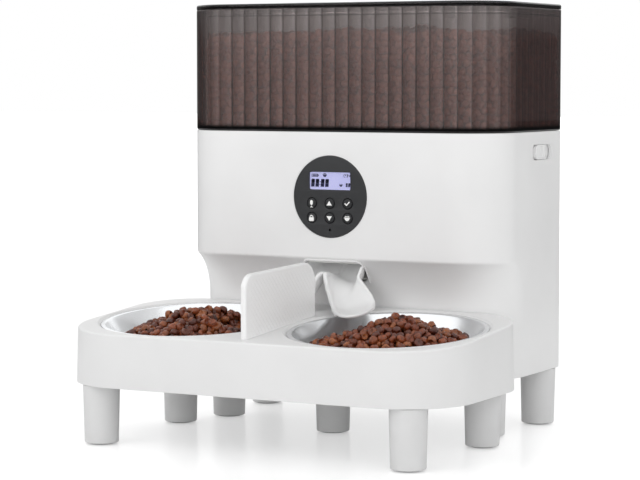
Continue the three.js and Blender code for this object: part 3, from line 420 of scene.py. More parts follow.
# A profile with its corners rounded: each point is (a, b) or (a, b, radius).
def rounded(profile, steps):
    result = []
    count = len(profile)
    for i, point in enumerate(profile):
        radius = point[2] if len(point) > 2 else 0
        corner = Vector(point[:2])
        if not radius or i in (0, count - 1):
            result.append(tuple(corner))
            continue
        before, after = Vector(profile[i - 1][:2]), Vector(profile[(i + 1) % count][:2])
        u, v = (before - corner).normalized(), (after - corner).normalized()
        half = math.acos(max(-1.0, min(1.0, u.dot(v)))) / 2
        reach = min(radius / math.tan(half), (before - corner).length * 0.49, (after - corner).length * 0.49)
        start, stop = corner + u * reach, corner + v * reach
        bend = reach * math.tan(half)
        centre = corner + (u + v).normalized() * (bend / math.sin(half))
        for k in range(steps + 1):
            t = k / steps
            spoke = (start - centre).lerp(stop - centre, t).normalized() * bend
            result.append(tuple(centre + spoke))
    return result


def toMesh(name, skinned):
    mesh = bpy.data.meshes.new(name)
    mesh.from_pydata([tuple(c * mm for c in v) for v in skinned[0]], [], skinned[1])
    form = bmesh.new()
    form.from_mesh(mesh)
    bmesh.ops.remove_doubles(form, verts=form.verts, dist=1e-7)
    bmesh.ops.recalc_face_normals(form, faces=form.faces)
    form.to_mesh(mesh)
    form.free()
    return mesh


def looseObject(name, mesh):
    item = bpy.data.objects.new(name, mesh)
    bpy.context.scene.collection.objects.link(item)
    return item


def settled(item):
    bpy.context.view_layer.update()
    mesh = bpy.data.meshes.new_from_object(item.evaluated_get(bpy.context.evaluated_depsgraph_get()))
    old = item.data
    item.modifiers.clear()
    item.data = mesh
    bpy.data.meshes.remove(old)
    return item


def cutAway(item, tools, operation="DIFFERENCE"):
    for i, tool in enumerate(tools):
        cutter = looseObject(f"cutter{i}", toMesh(f"cutter{i}", tool))
        change = item.modifiers.new("change", "BOOLEAN")
        change.operation, change.solver, change.object = operation, "EXACT", cutter
        settled(item)
        mesh = cutter.data
        bpy.data.objects.remove(cutter)
        bpy.data.meshes.remove(mesh)
    return item


def dress(item, material, body, sharp, stands=()):
    item.data.name = item.name
    item.data.materials.clear()
    item.data.materials.append(material)
    item.data.polygons.foreach_set("use_smooth", [True] * len(item.data.polygons))
    item.data.set_sharp_from_angle(angle=math.radians(sharp))
    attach(item, body)
    if stands:
        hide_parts(*stands)
    return item


def addPiece(name, skinned, material, body, stands=(), cuts=(), sharp=32):
    item = looseObject(name, toMesh(name, skinned))
    if cuts:
        cutAway(item, cuts)
    return dress(item, material, body, sharp, stands)


# A flat figure in X and Z given thickness along Y, with softened edges. Inner loops are holes.
def flatSkin(loops, front, back, edge=0.0, steps=2):
    drawing = bpy.data.curves.new("drawing", "CURVE")
    drawing.dimensions, drawing.fill_mode = "2D", "BOTH"
    drawing.extrude = (back - front) / 2 - edge
    drawing.bevel_depth, drawing.offset, drawing.bevel_resolution = edge, -edge, steps
    for loop in loops:
        line = drawing.splines.new("POLY")
        line.points.add(len(loop) - 1)
        line.points.foreach_set("co", [c for x, z in loop for c in (x, z, 0.0, 1.0)])
        line.use_cyclic_u = True
    item = looseObject("drawing", drawing)
    bpy.context.view_layer.update()
    mesh = bpy.data.meshes.new_from_object(item.evaluated_get(bpy.context.evaluated_depsgraph_get()))
    form = bmesh.new()
    form.from_mesh(mesh)
    bmesh.ops.remove_doubles(form, verts=form.verts, dist=1e-4)
    form.verts.index_update()
    middle = (front + back) / 2
    vertices = [(v.co.x, middle - v.co.z, v.co.y) for v in form.verts]
    faces = [tuple(v.index for v in f.verts) for f in form.faces]
    form.free()
    bpy.data.objects.remove(item)
    bpy.data.curves.remove(drawing)
    bpy.data.meshes.remove(mesh)
    return vertices, faces


def circleLoop(x, z, radius, sides):
    return [(x + radius * math.cos(math.radians(360.0 * i / sides)),
             z + radius * math.sin(math.radians(360.0 * i / sides))) for i in range(sides)]


def roundedLoop(x, z, width, height, radius, steps=6):
    w, h = width / 2 - radius, height / 2 - radius
    return [*arcPoints((x + w, z - h), radius, -90, 0, steps), *arcPoints((x + w, z + h), radius, 0, 90, steps),
            *arcPoints((x - w, z + h), radius, 90, 180, steps), *arcPoints((x - w, z - h), radius, 180, 270, steps)]


# A figure in X and Z drawn through from front to back.
def uprightPrism(loop, front, back):
    return skin([[(x, y, z) for x, z in loop] for y in (back, front)])


# The same on a side wall: the figure lies in Y and Z, between two values of X.
def sidePrism(loop, near, far):
    return skin([[(x, y, z) for y, z in loop] for x in (near, far)])


# A round bar through points, with domed ends.
def tubeSkin(points, radius):
    sides = 14
    last = len(points) - 1
    rings, side = [], (points[1] - points[0]).orthogonal()
    for k, point in enumerate(points):
        along = (points[min(k + 1, last)] - points[max(k - 1, 0)]).normalized()
        side = (side - along * side.dot(along)).normalized()
        up = along.cross(side)
        ends = {0: (1.5, 1.0, 0.5), last: (-0.5, -1.0, -1.5)}.get(k, ())
        turns = [*ends, 0.0] if k == 0 else [0.0, *ends]
        for turn in turns:
            wide, reach = radius * math.cos(turn), -radius * math.sin(turn)
            rings.append([tuple(point + along * reach + (side * math.cos(a) + up * math.sin(a)) * wide)
                          for a in np.linspace(0, 2 * math.pi, sides + 1)[:-1]])
    return skin(rings)


def boxSkin(x0, x1, y0, y1, z0, z1):
    return skin([[(x0, y0, z), (x1, y0, z), (x1, y1, z), (x0, y1, z)] for z in (z0, z1)])


# Lays a turned shape down, so that its axis runs from front to back.
def facingFront(x, y, z):
    return Matrix.Translation((x, y, z)) @ Matrix.Rotation(-math.pi / 2, 4, "X")


# Sizes that several pieces share. The CAD boxes give the rest.
body = {"overhang": 21.0, "lipRise": 96.0, "frontRadius": 45.0, "rearRadius": 8.0, "wall": 2.6, "coveSweep": 60.0}
tray = {"frontRadius": 57.5, "rearRadius": 50.0, "frontHeight": 42.7, "tilt": 4.4, "wall": 2.6, "deck": 4.4,
        "draft": 1.2, "edge": 1.6, "bowlSetback": 87.9, "bowlSpacing": 172.0}
divider = {"setback": 11.3, "length": 113.5, "thickness": 5.0}
tab = {"places": (-70, 70), "rise": 22.5, "half": 9.0, "height": 4.0}  # they hook the tray into the housing
panel = {"rise": 51.0, "radius": 33.6, "proud": 0.8}
seat = 0.3  # between pieces that rest on each other


def readSizes():
    low, high = [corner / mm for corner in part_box("housing")]
    body.update(width=high.x - low.x, rear=high.y, foot=low.z, seam=high.z, lipFront=low.y)
    body["front"], body["lip"] = body["lipFront"] + body["overhang"], body["foot"] + body["lipRise"]
    low, high = [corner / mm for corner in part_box("tray_shell")]
    tray.update(width=high.x - low.x, front=low.y, rear=body["front"] - seat, floor=low.z)


readSizes()
trayFront, trayRear = tray["front"], tray["rear"]
lipBox = dict(body, front=body["lipFront"])
deckRise = math.tan(math.radians(tray["tilt"]))
bowlY = trayFront + tray["bowlSetback"]
drum = (0.0, body["front"] + 55.0)  # the axis of the portion drum
panelZ, panelFront = body["lip"] + panel["rise"], body["lipFront"] - panel["proud"]
latch = {"y": body["lipFront"] + 97, "z": body["seam"] - 17, "length": 43.0, "height": 12.7}


def trayTopAt(y):
    return tray["floor"] + tray["frontHeight"] + (y - trayFront) * deckRise


deckPlaces = {side: Matrix.Translation((side * tray["bowlSpacing"] / 2, bowlY, trayTopAt(bowlY)))
              @ Matrix.Rotation(math.radians(tray["tilt"]), 4, "X") for side in (-1, 1)}


def housingProfile():
    reach = body["front"] - body["lipFront"]
    radius = reach / (1 - math.cos(math.radians(body["coveSweep"])))
    centreZ = body["lip"] - radius * math.sin(math.radians(body["coveSweep"]))
    centreY = body["front"] - radius
    return radius, centreY, centreZ


coveRadius, coveY, coveZ = housingProfile()


def makeHousing():
    finish = {"lipRound": 1.6, "rimRound": 0.7, "footRound": 0.8, "coveSteps": 40, "inletHole": 5.5}
    slot = {"width": 54.4, "height": 17.2, "topDrop": 2.0, "radius": 5.0, "depth": 34.0}
    wall, past = body["wall"], 1  # a cut runs on past both faces

    def ring(front, z, inset=0.0):
        return ringAt(roundedOutline(dict(body, front=front), inset), z)

    arc = [(coveY + coveRadius * math.cos(math.radians(a)), coveZ + coveRadius * math.sin(math.radians(a)))
           for a in np.linspace(0, body["coveSweep"], finish["coveSteps"] + 1)]
    lip = Vector(arc[-1])
    below, above = Vector(arc[-3]), lip + Vector((0, finish["lipRound"] * 1.1))
    lipCurve = [tuple(below.lerp(lip, t).lerp(lip.lerp(above, t), t)) for t in np.linspace(0, 1, 8)]
    front = [*arc[:-3], *lipCurve]
    r = finish["footRound"]
    rings = [ring(body["front"], body["foot"] + r * (1 - math.cos(a)), r * (1 - math.sin(a)))
             for a in np.linspace(0, math.pi / 2, 4)]
    rings += [ring(y, z) for y, z in front if z > body["foot"] + r]
    r = finish["rimRound"]
    rings += [ring(body["lipFront"], body["seam"] - r * (1 - math.sin(a)), r * (1 - math.cos(a)))
              for a in np.linspace(0, math.pi / 2, 5)]
    inner = [ring(body["lipFront"], z, wall) for z in (body["seam"], body["lip"] + wall + 0.6)]
    innerRadius = coveRadius + wall
    for a in np.linspace(body["coveSweep"], 0, 16):
        y = coveY + innerRadius * math.cos(math.radians(a))
        inner.append(ring(y - wall, coveZ + innerRadius * math.sin(math.radians(a)), wall))
    inner.append(ring(coveY + innerRadius - wall, body["foot"], wall))

    slotZ = body["lip"] - slot["topDrop"] - slot["height"] / 2
    latchLoop = roundedLoop(latch["y"], latch["z"], latch["length"], latch["height"], latch["height"] / 2 - 0.02, 12)
    tabZ, tabHalf = body["foot"] + tab["rise"], tab["half"] + seat
    inlet = sum(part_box("power_socket"), Vector()) / 2 / mm
    outside = body["width"] / 2
    cuts = [
        uprightPrism(roundedLoop(0, slotZ, slot["width"], slot["height"], slot["radius"], 10),
                     body["lipFront"] - past, slot["depth"]),
        uprightPrism(circleLoop(0, panelZ, panel["radius"] + seat, 128),
                     body["lipFront"] - past, body["lipFront"] + wall + past),
        *[boxSkin(x - tabHalf, x + tabHalf, body["front"] - past, body["front"] + wall + past,
                  tabZ - seat, tabZ + tab["height"] + seat) for x in tab["places"]],
        *[sidePrism(latchLoop, side * (outside + past), side * (outside - wall - past)) for side in (-1, 1)],
        uprightPrism(circleLoop(inlet.x, inlet.z, finish["inletHole"], 48),
                     body["rear"] - wall - past, body["rear"] + past),
    ]
    addPiece("housing_skin", skin([*rings, *inner], "joined"), whiteAbs, "feeder", ["housing"],
             cuts, 28)


# The raised bead round the top and sides of the outlet slot, lying on the hollow wall.
def makeSlotBead():
    sizes = {"width": 55.6, "top": -1.4, "foot": -19.5, "corner": 6.0, "radius": 0.95, "sink": 0.1}
    half, corner = sizes["width"] / 2, sizes["corner"]
    line = [(half, z) for z in np.linspace(sizes["foot"], sizes["top"] - corner, 10)]
    line += arcPoints((half - corner, sizes["top"] - corner), corner, 0, 90, 8)[1:]
    line += [(-x, z) for x, z in reversed(line)]
    points = []
    for x, drop in line:
        z = body["lip"] + drop
        y = coveY + math.sqrt(coveRadius ** 2 - max(z - coveZ, 0) ** 2)
        points.append(Vector((x, y - sizes["sink"], z)))
    addPiece("slot_bead", tubeSkin(points, sizes["radius"]), whiteAbs, "feeder", sharp=60)


makeHousing()
makeSlotBead()
print("housing done")


def makeTank():
    sizes = {"wall": 3.0, "pitch": 12.2, "flute": 1.2, "round": 1.4, "mouth": 56.0, "mouthWall": 2.5, "collar": 4,
             "floor": 2.5, "neck": 3.2, "neckZ": 240.7, "rise": 1.1, "rim": 0.5, "paintedShadeHeight": 2.6, "paintedShadeFade": 3.0,
             "paintedBottomShade": 0.11, "rearFlute": 0.3}
    phases = (0, 0.05, 0.2, 0.35, 0.5, 0.65, 0.8, 0.95)  # the points across one flute
    low, high = [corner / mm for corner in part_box("tank")]
    bottom, top = body["seam"] + seat, high.z + sizes["rise"]
    outline = np.array(roundedOutline(lipBox, 0, 90, 30))
    run = np.concatenate([[0], np.cumsum(np.hypot(*np.diff(np.vstack([outline, outline[:1]]), axis=0).T))])
    flutes = round(run[-1] / sizes["pitch"])
    at = np.array([(k + phase) / flutes for k in range(flutes) for phase in phases]) * run[-1]

    def place(offset):
        where = (at + offset) % run[-1]
        return np.stack([np.interp(where, run, np.append(outline[:, k], outline[0, k])) for k in (0, 1)], 1)

    edge = place(0)
    along = place(0.6) - place(-0.6)
    outward = np.stack([along[:, 1], -along[:, 0]], 1) / np.hypot(*along.T)[:, None]
    phase = np.array(phases * flutes)
    depth = (1 - phase) ** 1.1 * np.where(edge[:, 1] > body["rear"] - 1, sizes["rearFlute"], 1.0)

    def ring(inset, z):
        return [(x, y, z) for x, y in edge - outward * np.reshape(inset, (-1, 1))]

    def roundRing(radius, z):
        turn = np.arctan2(edge[:, 1] - drum[1], edge[:, 0])
        return [(drum[0] + radius * math.cos(a), drum[1] + radius * math.sin(a), z) for a in turn]

    r, quarter = sizes["round"], np.linspace(0, math.pi / 2, 6)
    floor, band = bottom + sizes["floor"], bottom + sizes["paintedShadeHeight"]
    inner = sizes["wall"] + sizes["flute"] * depth
    neck, throat = sizes["neck"], sizes["neck"] + sizes["mouthWall"]
    mouth, collar, rim = sizes["mouth"], low.z + sizes["collar"], sizes["rim"]
    bore = mouth - sizes["mouthWall"]
    rings = [
        *[ring(r * (1 - math.sin(a)), bottom + r * (1 - math.cos(a))) for a in quarter],
        ring(0, band), ring(0, band + sizes["paintedShadeFade"]),
        *[ring(rim * (1 - math.cos(a)), top - rim * (1 - math.sin(a))) for a in quarter],
        ring(inner, top), ring(inner, band + sizes["paintedShadeFade"]), ring(inner, floor),
        ring(throat, floor), ring(throat, sizes["neckZ"] + sizes["mouthWall"] / 2),
        roundRing(bore, collar), roundRing(bore, low.z), roundRing(mouth, low.z), roundRing(mouth, collar),
        ring(neck, sizes["neckZ"]), ring(neck, bottom),
    ]
    item = addPiece("tank_wall", skin(rings, "joined"), smokedTankWithPaintedShade, "tank", ["tank"], sharp=40)
    shade = item.data.attributes.new("flute", "FLOAT", "POINT")
    for k, vertex in enumerate(item.data.vertices):  # painted shade: near black at the foot, and darker towards the bottom, over the flute depth
        z = vertex.co.z / mm
        # painted shade that darkens the wall towards its bottom
        draft = sizes["paintedBottomShade"] * (top - z) / (top - band)
        shade.data[k].value = 1.0 if z < floor + 0.1 else 0.5 * depth[k % len(depth)] + draft


# The lid's band and top are dark; the plug that drops into the tank is clear, with a thin seal round its foot.
def makeLid():
    sizes = {"rim": 4.1, "round": 1.6, "sheet": 2.2, "skirt": 2.4, "plugFoot": 342.6, "plug": (6.6, 9.0),
             "plugRound": 0.3, "seal": (4.7, 6.6), "sealRise": 0.2, "sealHeight": 1.2, "crown": 20, "middle": 42}
    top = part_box("lid")[1].z / mm
    bottom, under = top - sizes["rim"], top - sizes["sheet"]

    def ring(inset, z):
        return ringAt(roundedOutline(lipBox, inset, 32, 12), z)

    r = sizes["round"]
    rings = [
        ring(sizes["middle"], under), ring(sizes["skirt"], under), ring(sizes["skirt"], bottom),
        ring(0.5, bottom), ring(0.12, bottom + 0.12), ring(0, bottom + 0.5),
        *[ring(r * (1 - math.cos(a)), top - r + r * math.sin(a)) for a in np.linspace(0, math.pi / 2, 8)],
        ring(sizes["crown"], top), ring(sizes["middle"], top),
    ]
    addPiece("lid_shell", skin(rings), smokedLid, "lid", ["lid"])
    near, far = sizes["plug"]
    foot, r = sizes["plugFoot"], sizes["plugRound"]
    plug = [ring(near, under), ring(near, foot + r), ring(near + r, foot), ring(far - r, foot), ring(far, foot + r),
            ring(far, under)]
    addPiece("lid_plug", skin(plug, "joined"), clearPlug, "lid")
    near, far = sizes["seal"]
    mid, half = foot + sizes["sealRise"], sizes["sealHeight"] / 2
    seal = [ring(near, mid - half), ring(near, mid + half), ring(far, mid + half), ring(far, mid - half)]
    addPiece("lid_seal", skin(seal, "joined"), sealSilicone, "lid", ["lid_gasket"])


makeTank()
makeLid()
print("tank and lid done")


def makeTray():
    sizes = {"seatRadius": 79.8, "seatDepth": 2.4, "seatChamfer": 2.2, "well": 76.8, "edgeRound": 0.5, "groove": 2.9,
             "grooveRise": 1.5, "tabReach": 4.6, "cutDepth": 12, "cutRise": 1.2}

    def outline(inset):
        return roundedOutline(tray, inset, 40, 36)

    r, draft = tray["edge"], tray["draft"]
    outer = [ringAt(outline(inset), tray["floor"] + rise) for inset, rise in ((0.5, 0), (0.12, 0.12), (0, 0.5))]
    outer += [ringAt(outline(draft + r * (1 - math.cos(a))), lambda y, a=a: trayTopAt(y) - r + r * math.sin(a))
              for a in np.linspace(0, math.pi / 2, 10)]
    outer += [ringAt(outline(draft + r + 1.5), trayTopAt)]
    wall = tray["wall"]
    inner = [ringAt(outline(wall), tray["floor"]), ringAt(outline(wall), tray["floor"] + 3.5),
             ringAt(outline(wall + draft), lambda y: trayTopAt(y) - tray["deck"])]
    vertices, faces = skin([*reversed(inner), *outer], "open")
    count = len(outer[0])
    faces.append(tuple(range(count)))
    faces.append(tuple(range(len(vertices) - count, len(vertices))))
    edge = sizes["edgeRound"]
    well, step, deep, chamfer = [sizes[name] for name in ("well", "seatRadius", "seatDepth", "seatChamfer")]
    mouth, foot, rise = step + chamfer * 0.9, -sizes["cutDepth"], sizes["cutRise"]
    seatProfile = rounded([
        (0, foot), (well, foot), (well, -deep, edge * 0.6), (step, -deep, 0.4), (step, -chamfer * 0.8, 0.4),
        (mouth, 0, edge), (mouth + rise, rise), (0, rise)], 4)
    seats = [moved(turnedSkin(seatProfile, 144), place) for place in deckPlaces.values()]
    front, half, depth = trayFront + divider["setback"] - seat, divider["thickness"] / 2 + seat, sizes["groove"]
    rear = front + divider["length"] + 2 * seat
    groove = ([(x, y, trayTopAt(y) + dz) for dz in (-depth, sizes["grooveRise"]) for x, y in
               ((-half, front), (half, front), (half, rear), (-half, rear))],
              [(3, 2, 1, 0), (4, 5, 6, 7), (0, 1, 5, 4), (1, 2, 6, 5), (2, 3, 7, 6), (3, 0, 4, 7)])
    item = looseObject("tray_skin", toMesh("tray_skin", (vertices, faces)))
    cutAway(item, [*seats, groove])
    tabZ = tray["floor"] + tab["rise"]
    tabs = [boxSkin(x - tab["half"], x + tab["half"], trayRear - wall - draft, trayRear + sizes["tabReach"],
                    tabZ, tabZ + tab["height"]) for x in tab["places"]]
    cutAway(item, tabs, "UNION")
    dress(item, trayAbsWithPaintedShade, "feeder", 28, ["tray_shell"])


def makeBowls():
    sizes = {"rim": 79.2, "mouth": 75.6, "floor": 52.0, "foot": -33.0, "sheet": 1.0, "seat": -2.1}
    edge, mouth, floor, t, rim, depth = [sizes[name] for name in ("rim", "mouth", "floor", "sheet", "seat", "foot")]
    outside = rounded([(0, depth), (floor + 1.5, depth, 7.0), (mouth - 0.8, rim - 1.0, 1.6),
                       (mouth + 0.6, rim), (edge, rim), (edge, rim + t)], 8)
    inside = rounded([(edge, rim + t), (mouth - t + 0.9, rim + t, 1.6),
                      (mouth - 1.9, rim + t - 2.2), (floor + 1.2, depth + t, 8.0), (0, depth + t)], 8)
    profile = [*outside[:-1], (edge, rim + 0.2), (edge - 0.05, rim + t - 0.2), (edge - 0.35, rim + t), *inside[1:]]
    # A real bowl's rings are finer: these are drawn just coarse enough to show.
    finish = {"colours": ("#e2e4e6", "#eaecee"), "roughness": (0.16, 0.26), "anisotropy": 0.45,
              "ringMm": 0.9, "ringHeightMm": 0.01, "ringStrength": 0.35, "patchMm": 25}
    for name, side in (("bowl_left", -1), ("bowl_right", 1)):
        centre = tuple(c * mm for c in deckPlaces[side].translation)
        steel = bowlSteelMaterial("polishedStainlessSteel_" + name.split("_")[1], centre, finish)
        addPiece(name + "_drawn", moved(turnedSkin(profile, 160), deckPlaces[side]), steel, name, [name],
                 sharp=40)


def makeDivider():
    sizes = {"height": 47.0, "tilt": 1.6, "frontRadius": 12.0, "rearRadius": 17.0, "foot": 2.6, "round": 1.4,
             "lattice": 5.2, "grooveDepth": 0.28, "grooveWidth": 0.75, "border": 3.2, "fade": 0.6,
             "clear": 1.5, "rows": 72, "column": 0.75}
    front = trayFront + divider["setback"]
    rear = front + divider["length"]
    slope = math.tan(math.radians(sizes["tilt"]))
    middle = (front + rear) / 2
    height = trayTopAt(middle) + sizes["height"]

    def crest(y):
        top = height + (y - middle) * slope
        for end, radius, sign in ((front, sizes["frontRadius"], 1), (rear, sizes["rearRadius"], -1)):
            d = (y - end) * sign
            if d < radius:
                corner = height + (end + sign * radius - middle) * slope
                top = min(top, corner - radius + math.sqrt(max(radius ** 2 - (radius - d) ** 2, 0)))
        return top

    edge = [0, 0.05, 0.15, 0.35, 0.65, 1.0, 1.4, 2.0]  # close steps for the rounded edge
    columns = [front + d for d in [*edge, *np.arange(2.7, divider["length"] - 2.4, sizes["column"])]]
    columns += [rear - d for d in reversed(edge)]
    count, depthCount = len(columns), len(edge) + sizes["rows"]
    vertices, index = [], {}
    crestLine = np.array([(y, crest(y)) for y in np.linspace(front, rear, 400)])

    def depthIn(y, z):
        d = float(np.min(np.hypot(crestLine[:, 0] - y, crestLine[:, 1] - z)))
        return min(d, y - front, rear - y)

    def halfThickness(y, z):
        d = max(depthIn(y, z), 0.0)
        r = sizes["round"]
        full = divider["thickness"] / 2
        if d < r:
            return full - r + math.sqrt(max(r * r - (r - d) ** 2, 0.0))
        if d > sizes["border"] and z > trayTopAt(y) + sizes["clear"]:
            u, v = (y + z) / sizes["lattice"], (y - z) / sizes["lattice"]
            off = min(abs(u - round(u)), abs(v - round(v))) * sizes["lattice"] / math.sqrt(2)
            fade = min((d - sizes["border"]) / sizes["fade"], 1.0)
            full -= sizes["grooveDepth"] * fade * math.exp(-((off / sizes["grooveWidth"]) ** 2) * 2)
        return full

    for i, y in enumerate(columns):
        low, high = trayTopAt(y) - sizes["foot"], crest(y)
        for j, d in enumerate([*edge, *np.linspace(2.7, high - low, sizes["rows"])]):
            z = high - d
            half = halfThickness(y, z)
            index[i, j, 1], index[i, j, -1] = len(vertices), len(vertices) + 1
            vertices += [(half, y, z), (-half, y, z)]
    faces = []
    for i in range(count - 1):
        for j in range(depthCount - 1):
            a, b, c, d = (i, j), (i + 1, j), (i + 1, j + 1), (i, j + 1)
            faces.append(tuple(index[(*p, 1)] for p in (a, b, c, d)))
            faces.append(tuple(index[(*p, -1)] for p in (d, c, b, a)))
        for j in (0, depthCount - 1):
            faces.append((index[i, j, -1], index[i + 1, j, -1], index[i + 1, j, 1], index[i, j, 1]))
    for i in (0, count - 1):
        for j in range(depthCount - 1):
            faces.append((index[i, j, -1], index[i, j + 1, -1], index[i, j + 1, 1], index[i, j, 1]))
    addPiece("divider_panel", (vertices, faces), dividerAbsWithPaintedLight, "divider", ["divider"], sharp=40)


makeTray()
makeBowls()
makeDivider()
print("tray, bowls and divider done")


# A smooth curve through points, at a share t of its length.
def catmullRom(points, t):
    last = len(points) - 1
    at = t * last
    k = min(int(at), last - 1)
    w = at - k
    p1, p2 = points[k], points[k + 1]
    p0 = points[k - 1] if k else 2 * p1 - p2
    p3 = points[k + 2] if k + 2 <= last else 2 * p2 - p1
    d1, d2, d3 = [max((b - a).length ** 0.5, 1e-6) for a, b in ((p0, p1), (p1, p2), (p2, p3))]
    m1 = ((p1 - p0) / d1 - (p2 - p0) / (d1 + d2) + (p2 - p1) / d2) * d2
    m2 = ((p2 - p1) / d2 - (p3 - p1) / (d2 + d3) + (p3 - p2) / d3) * d2
    return (p1 * (2 * w ** 3 - 3 * w ** 2 + 1) + m1 * (w ** 3 - 2 * w ** 2 + w)
            + p2 * (3 * w ** 2 - 2 * w ** 3) + m2 * (w ** 3 - w ** 2))


# Joins overlapping skins into one flowing surface and softens the creases between them.
def melted(item, voxel, passes):
    join = item.modifiers.new("join", "REMESH")
    join.mode, join.voxel_size = "VOXEL", voxel * mm
    soften = item.modifiers.new("soften", "SMOOTH")
    soften.factor, soften.iterations = 0.5, passes
    return settled(item)


def makeChute():
    sizes = {"thickness": 2.0, "along": 60, "across": 30, "rim": 1.5, "ridge": 1.9, "voxel": 0.62, "soften": 7,
             "rimFrom": 8}
    # Each section of the right half runs from its inner edge, under its trough, to its outer edge.
    # The first two run up inside the outlet, along its floor.
    sections = [
        [(-0.4, 15, -2.4), (8, 15, -2.6), (20, 15, -2.6), (23, 15, 1)],
        [(-0.4, 6, -11.2), (10, 6, -12), (24, 6, -13), (24, 6, -1)],
        [(-0.4, -2, -16.0), (12, -2, -20), (25.6, -2, -25), (27.0, -9, -5.6)],
        [(-0.4, -12, -15.5), (12, -12, -23), (26.8, -12.5, -28), (27.2, -13.5, -8.6)],
        [(1.4, -31, -12), (4, -29, -37), (25, -24, -39), (26.8, -17, -14.7)],
        [(4.2, -35, -17.5), (7, -35, -42), (28, -29, -43), (30.8, -20, -18.5)],
        [(8.2, -37, -28), (13, -40, -46), (36, -36, -46), (38.5, -25, -24.2)],
        [(15, -45, -34.5), (22, -52, -47), (46, -48, -46.5), (45.2, -30.5, -30.2)],
        [(24, -53, -39.3), (35, -79, -43.4), (60, -74, -43), (48.6, -37, -36.5)],
    ]
    origin = Vector((0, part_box("splitter_chute")[1].y / mm, body["lip"]))
    rails = [[Vector(section[k]) + origin for section in sections] for k in range(4)]
    rows, columns = sizes["along"] + 1, sizes["across"] + 1
    grid = []
    for i in range(rows):
        a, b, c, d = [catmullRom(rail, i / sizes["along"]) for rail in rails]
        grid.append([a * (1 - t) ** 3 + b * 3 * t * (1 - t) ** 2 + c * 3 * t * t * (1 - t) + d * t ** 3
                     for t in np.linspace(0, 1, columns)])

    def under(i, j):
        along = grid[min(i + 1, rows - 1)][j] - grid[max(i - 1, 0)][j]
        across = grid[i][min(j + 1, columns - 1)] - grid[i][max(j - 1, 0)]
        return grid[i][j] + along.cross(across).normalized() * sizes["thickness"]

    points = [tuple(grid[i][j]) for i in range(rows) for j in range(columns)]
    points += [tuple(under(i, j)) for i in range(rows) for j in range(columns)]
    half, faces = rows * columns, []
    for i in range(rows - 1):
        for j in range(columns - 1):
            a = i * columns + j
            faces += [(a, a + 1, a + columns + 1, a + columns),
                      (half + a, half + a + columns, half + a + columns + 1, half + a + 1)]
    border = [*range(columns), *[i * columns + columns - 1 for i in range(1, rows)],
              *[half - 1 - j for j in range(1, columns)], *[i * columns for i in range(rows - 2, 0, -1)]]
    for a, b in zip(border, [*border[1:], border[0]]):
        faces.append((b, a, half + a, half + b))
    middle = [[(grid[i][j] + under(i, j)) / 2 for j in range(columns)] for i in range(rows)]
    outer = [middle[i][-1] for i in range(rows) if grid[i][0].y < origin.y + sizes["rimFrom"]]
    outer += [middle[-1][j] for j in range(columns - 2, -1, -1)]
    inner = [middle[i][0] for i in range(rows)]
    rims = joinSkins(tubeSkin(outer, sizes["rim"]), tubeSkin(inner, sizes["ridge"]))
    right = joinSkins((points, faces), rims)
    left = ([(-x, y, z) for x, y, z in right[0]], [tuple(reversed(face)) for face in right[1]])
    item = looseObject("chute_saddle", toMesh("chute_saddle", joinSkins(right, left)))
    melted(item, sizes["voxel"], sizes["soften"])
    dress(item, whiteAbs, "feeder", 180, ["splitter_chute"])


makeChute()
print("chute done")


def makeLegs():
    sizes = {"topRadius": 14.8, "footRadius": 13.6, "top": 47.2, "reach": 0.8, "padRadius": 10.5, "pad": 2.6,
             "round": 1.0, "post": 6, "postHeight": 9}
    top, reach, pad, padRadius, post = [sizes[name] for name in ("top", "reach", "pad", "padRadius", "post")]
    profile = rounded([
        (0, pad + seat), (padRadius + seat, pad + seat), (padRadius + seat, reach, 0.3),
        (sizes["footRadius"], reach, sizes["round"]), (sizes["topRadius"], top, 0.3), (post, top),
        (post, top + sizes["postHeight"], 0.6), (0, top + sizes["postHeight"])], 5)
    padProfile = rounded([(0, 0), (padRadius, 0, 0.5), (padRadius, pad, 0.3), (0, pad)], 3)
    for i in range(1, 10):
        low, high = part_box(f"leg_{i}")
        place = Matrix.Translation(((low.x + high.x) / 2 / mm, (low.y + high.y) / 2 / mm, 0))
        addPiece(f"leg_{i}_moulded", moved(turnedSkin(profile, 72), place), legPolypropyleneWithPaintedShade, "feeder",
                 [f"leg_{i}"], sharp=35)
        addPiece(f"foot_pad_{i}_rubber", moved(turnedSkin(padProfile, 48), place), footRubber, "feeder",
                 [f"foot_pad_{i}"], sharp=35)


makeLegs()
print("legs done")


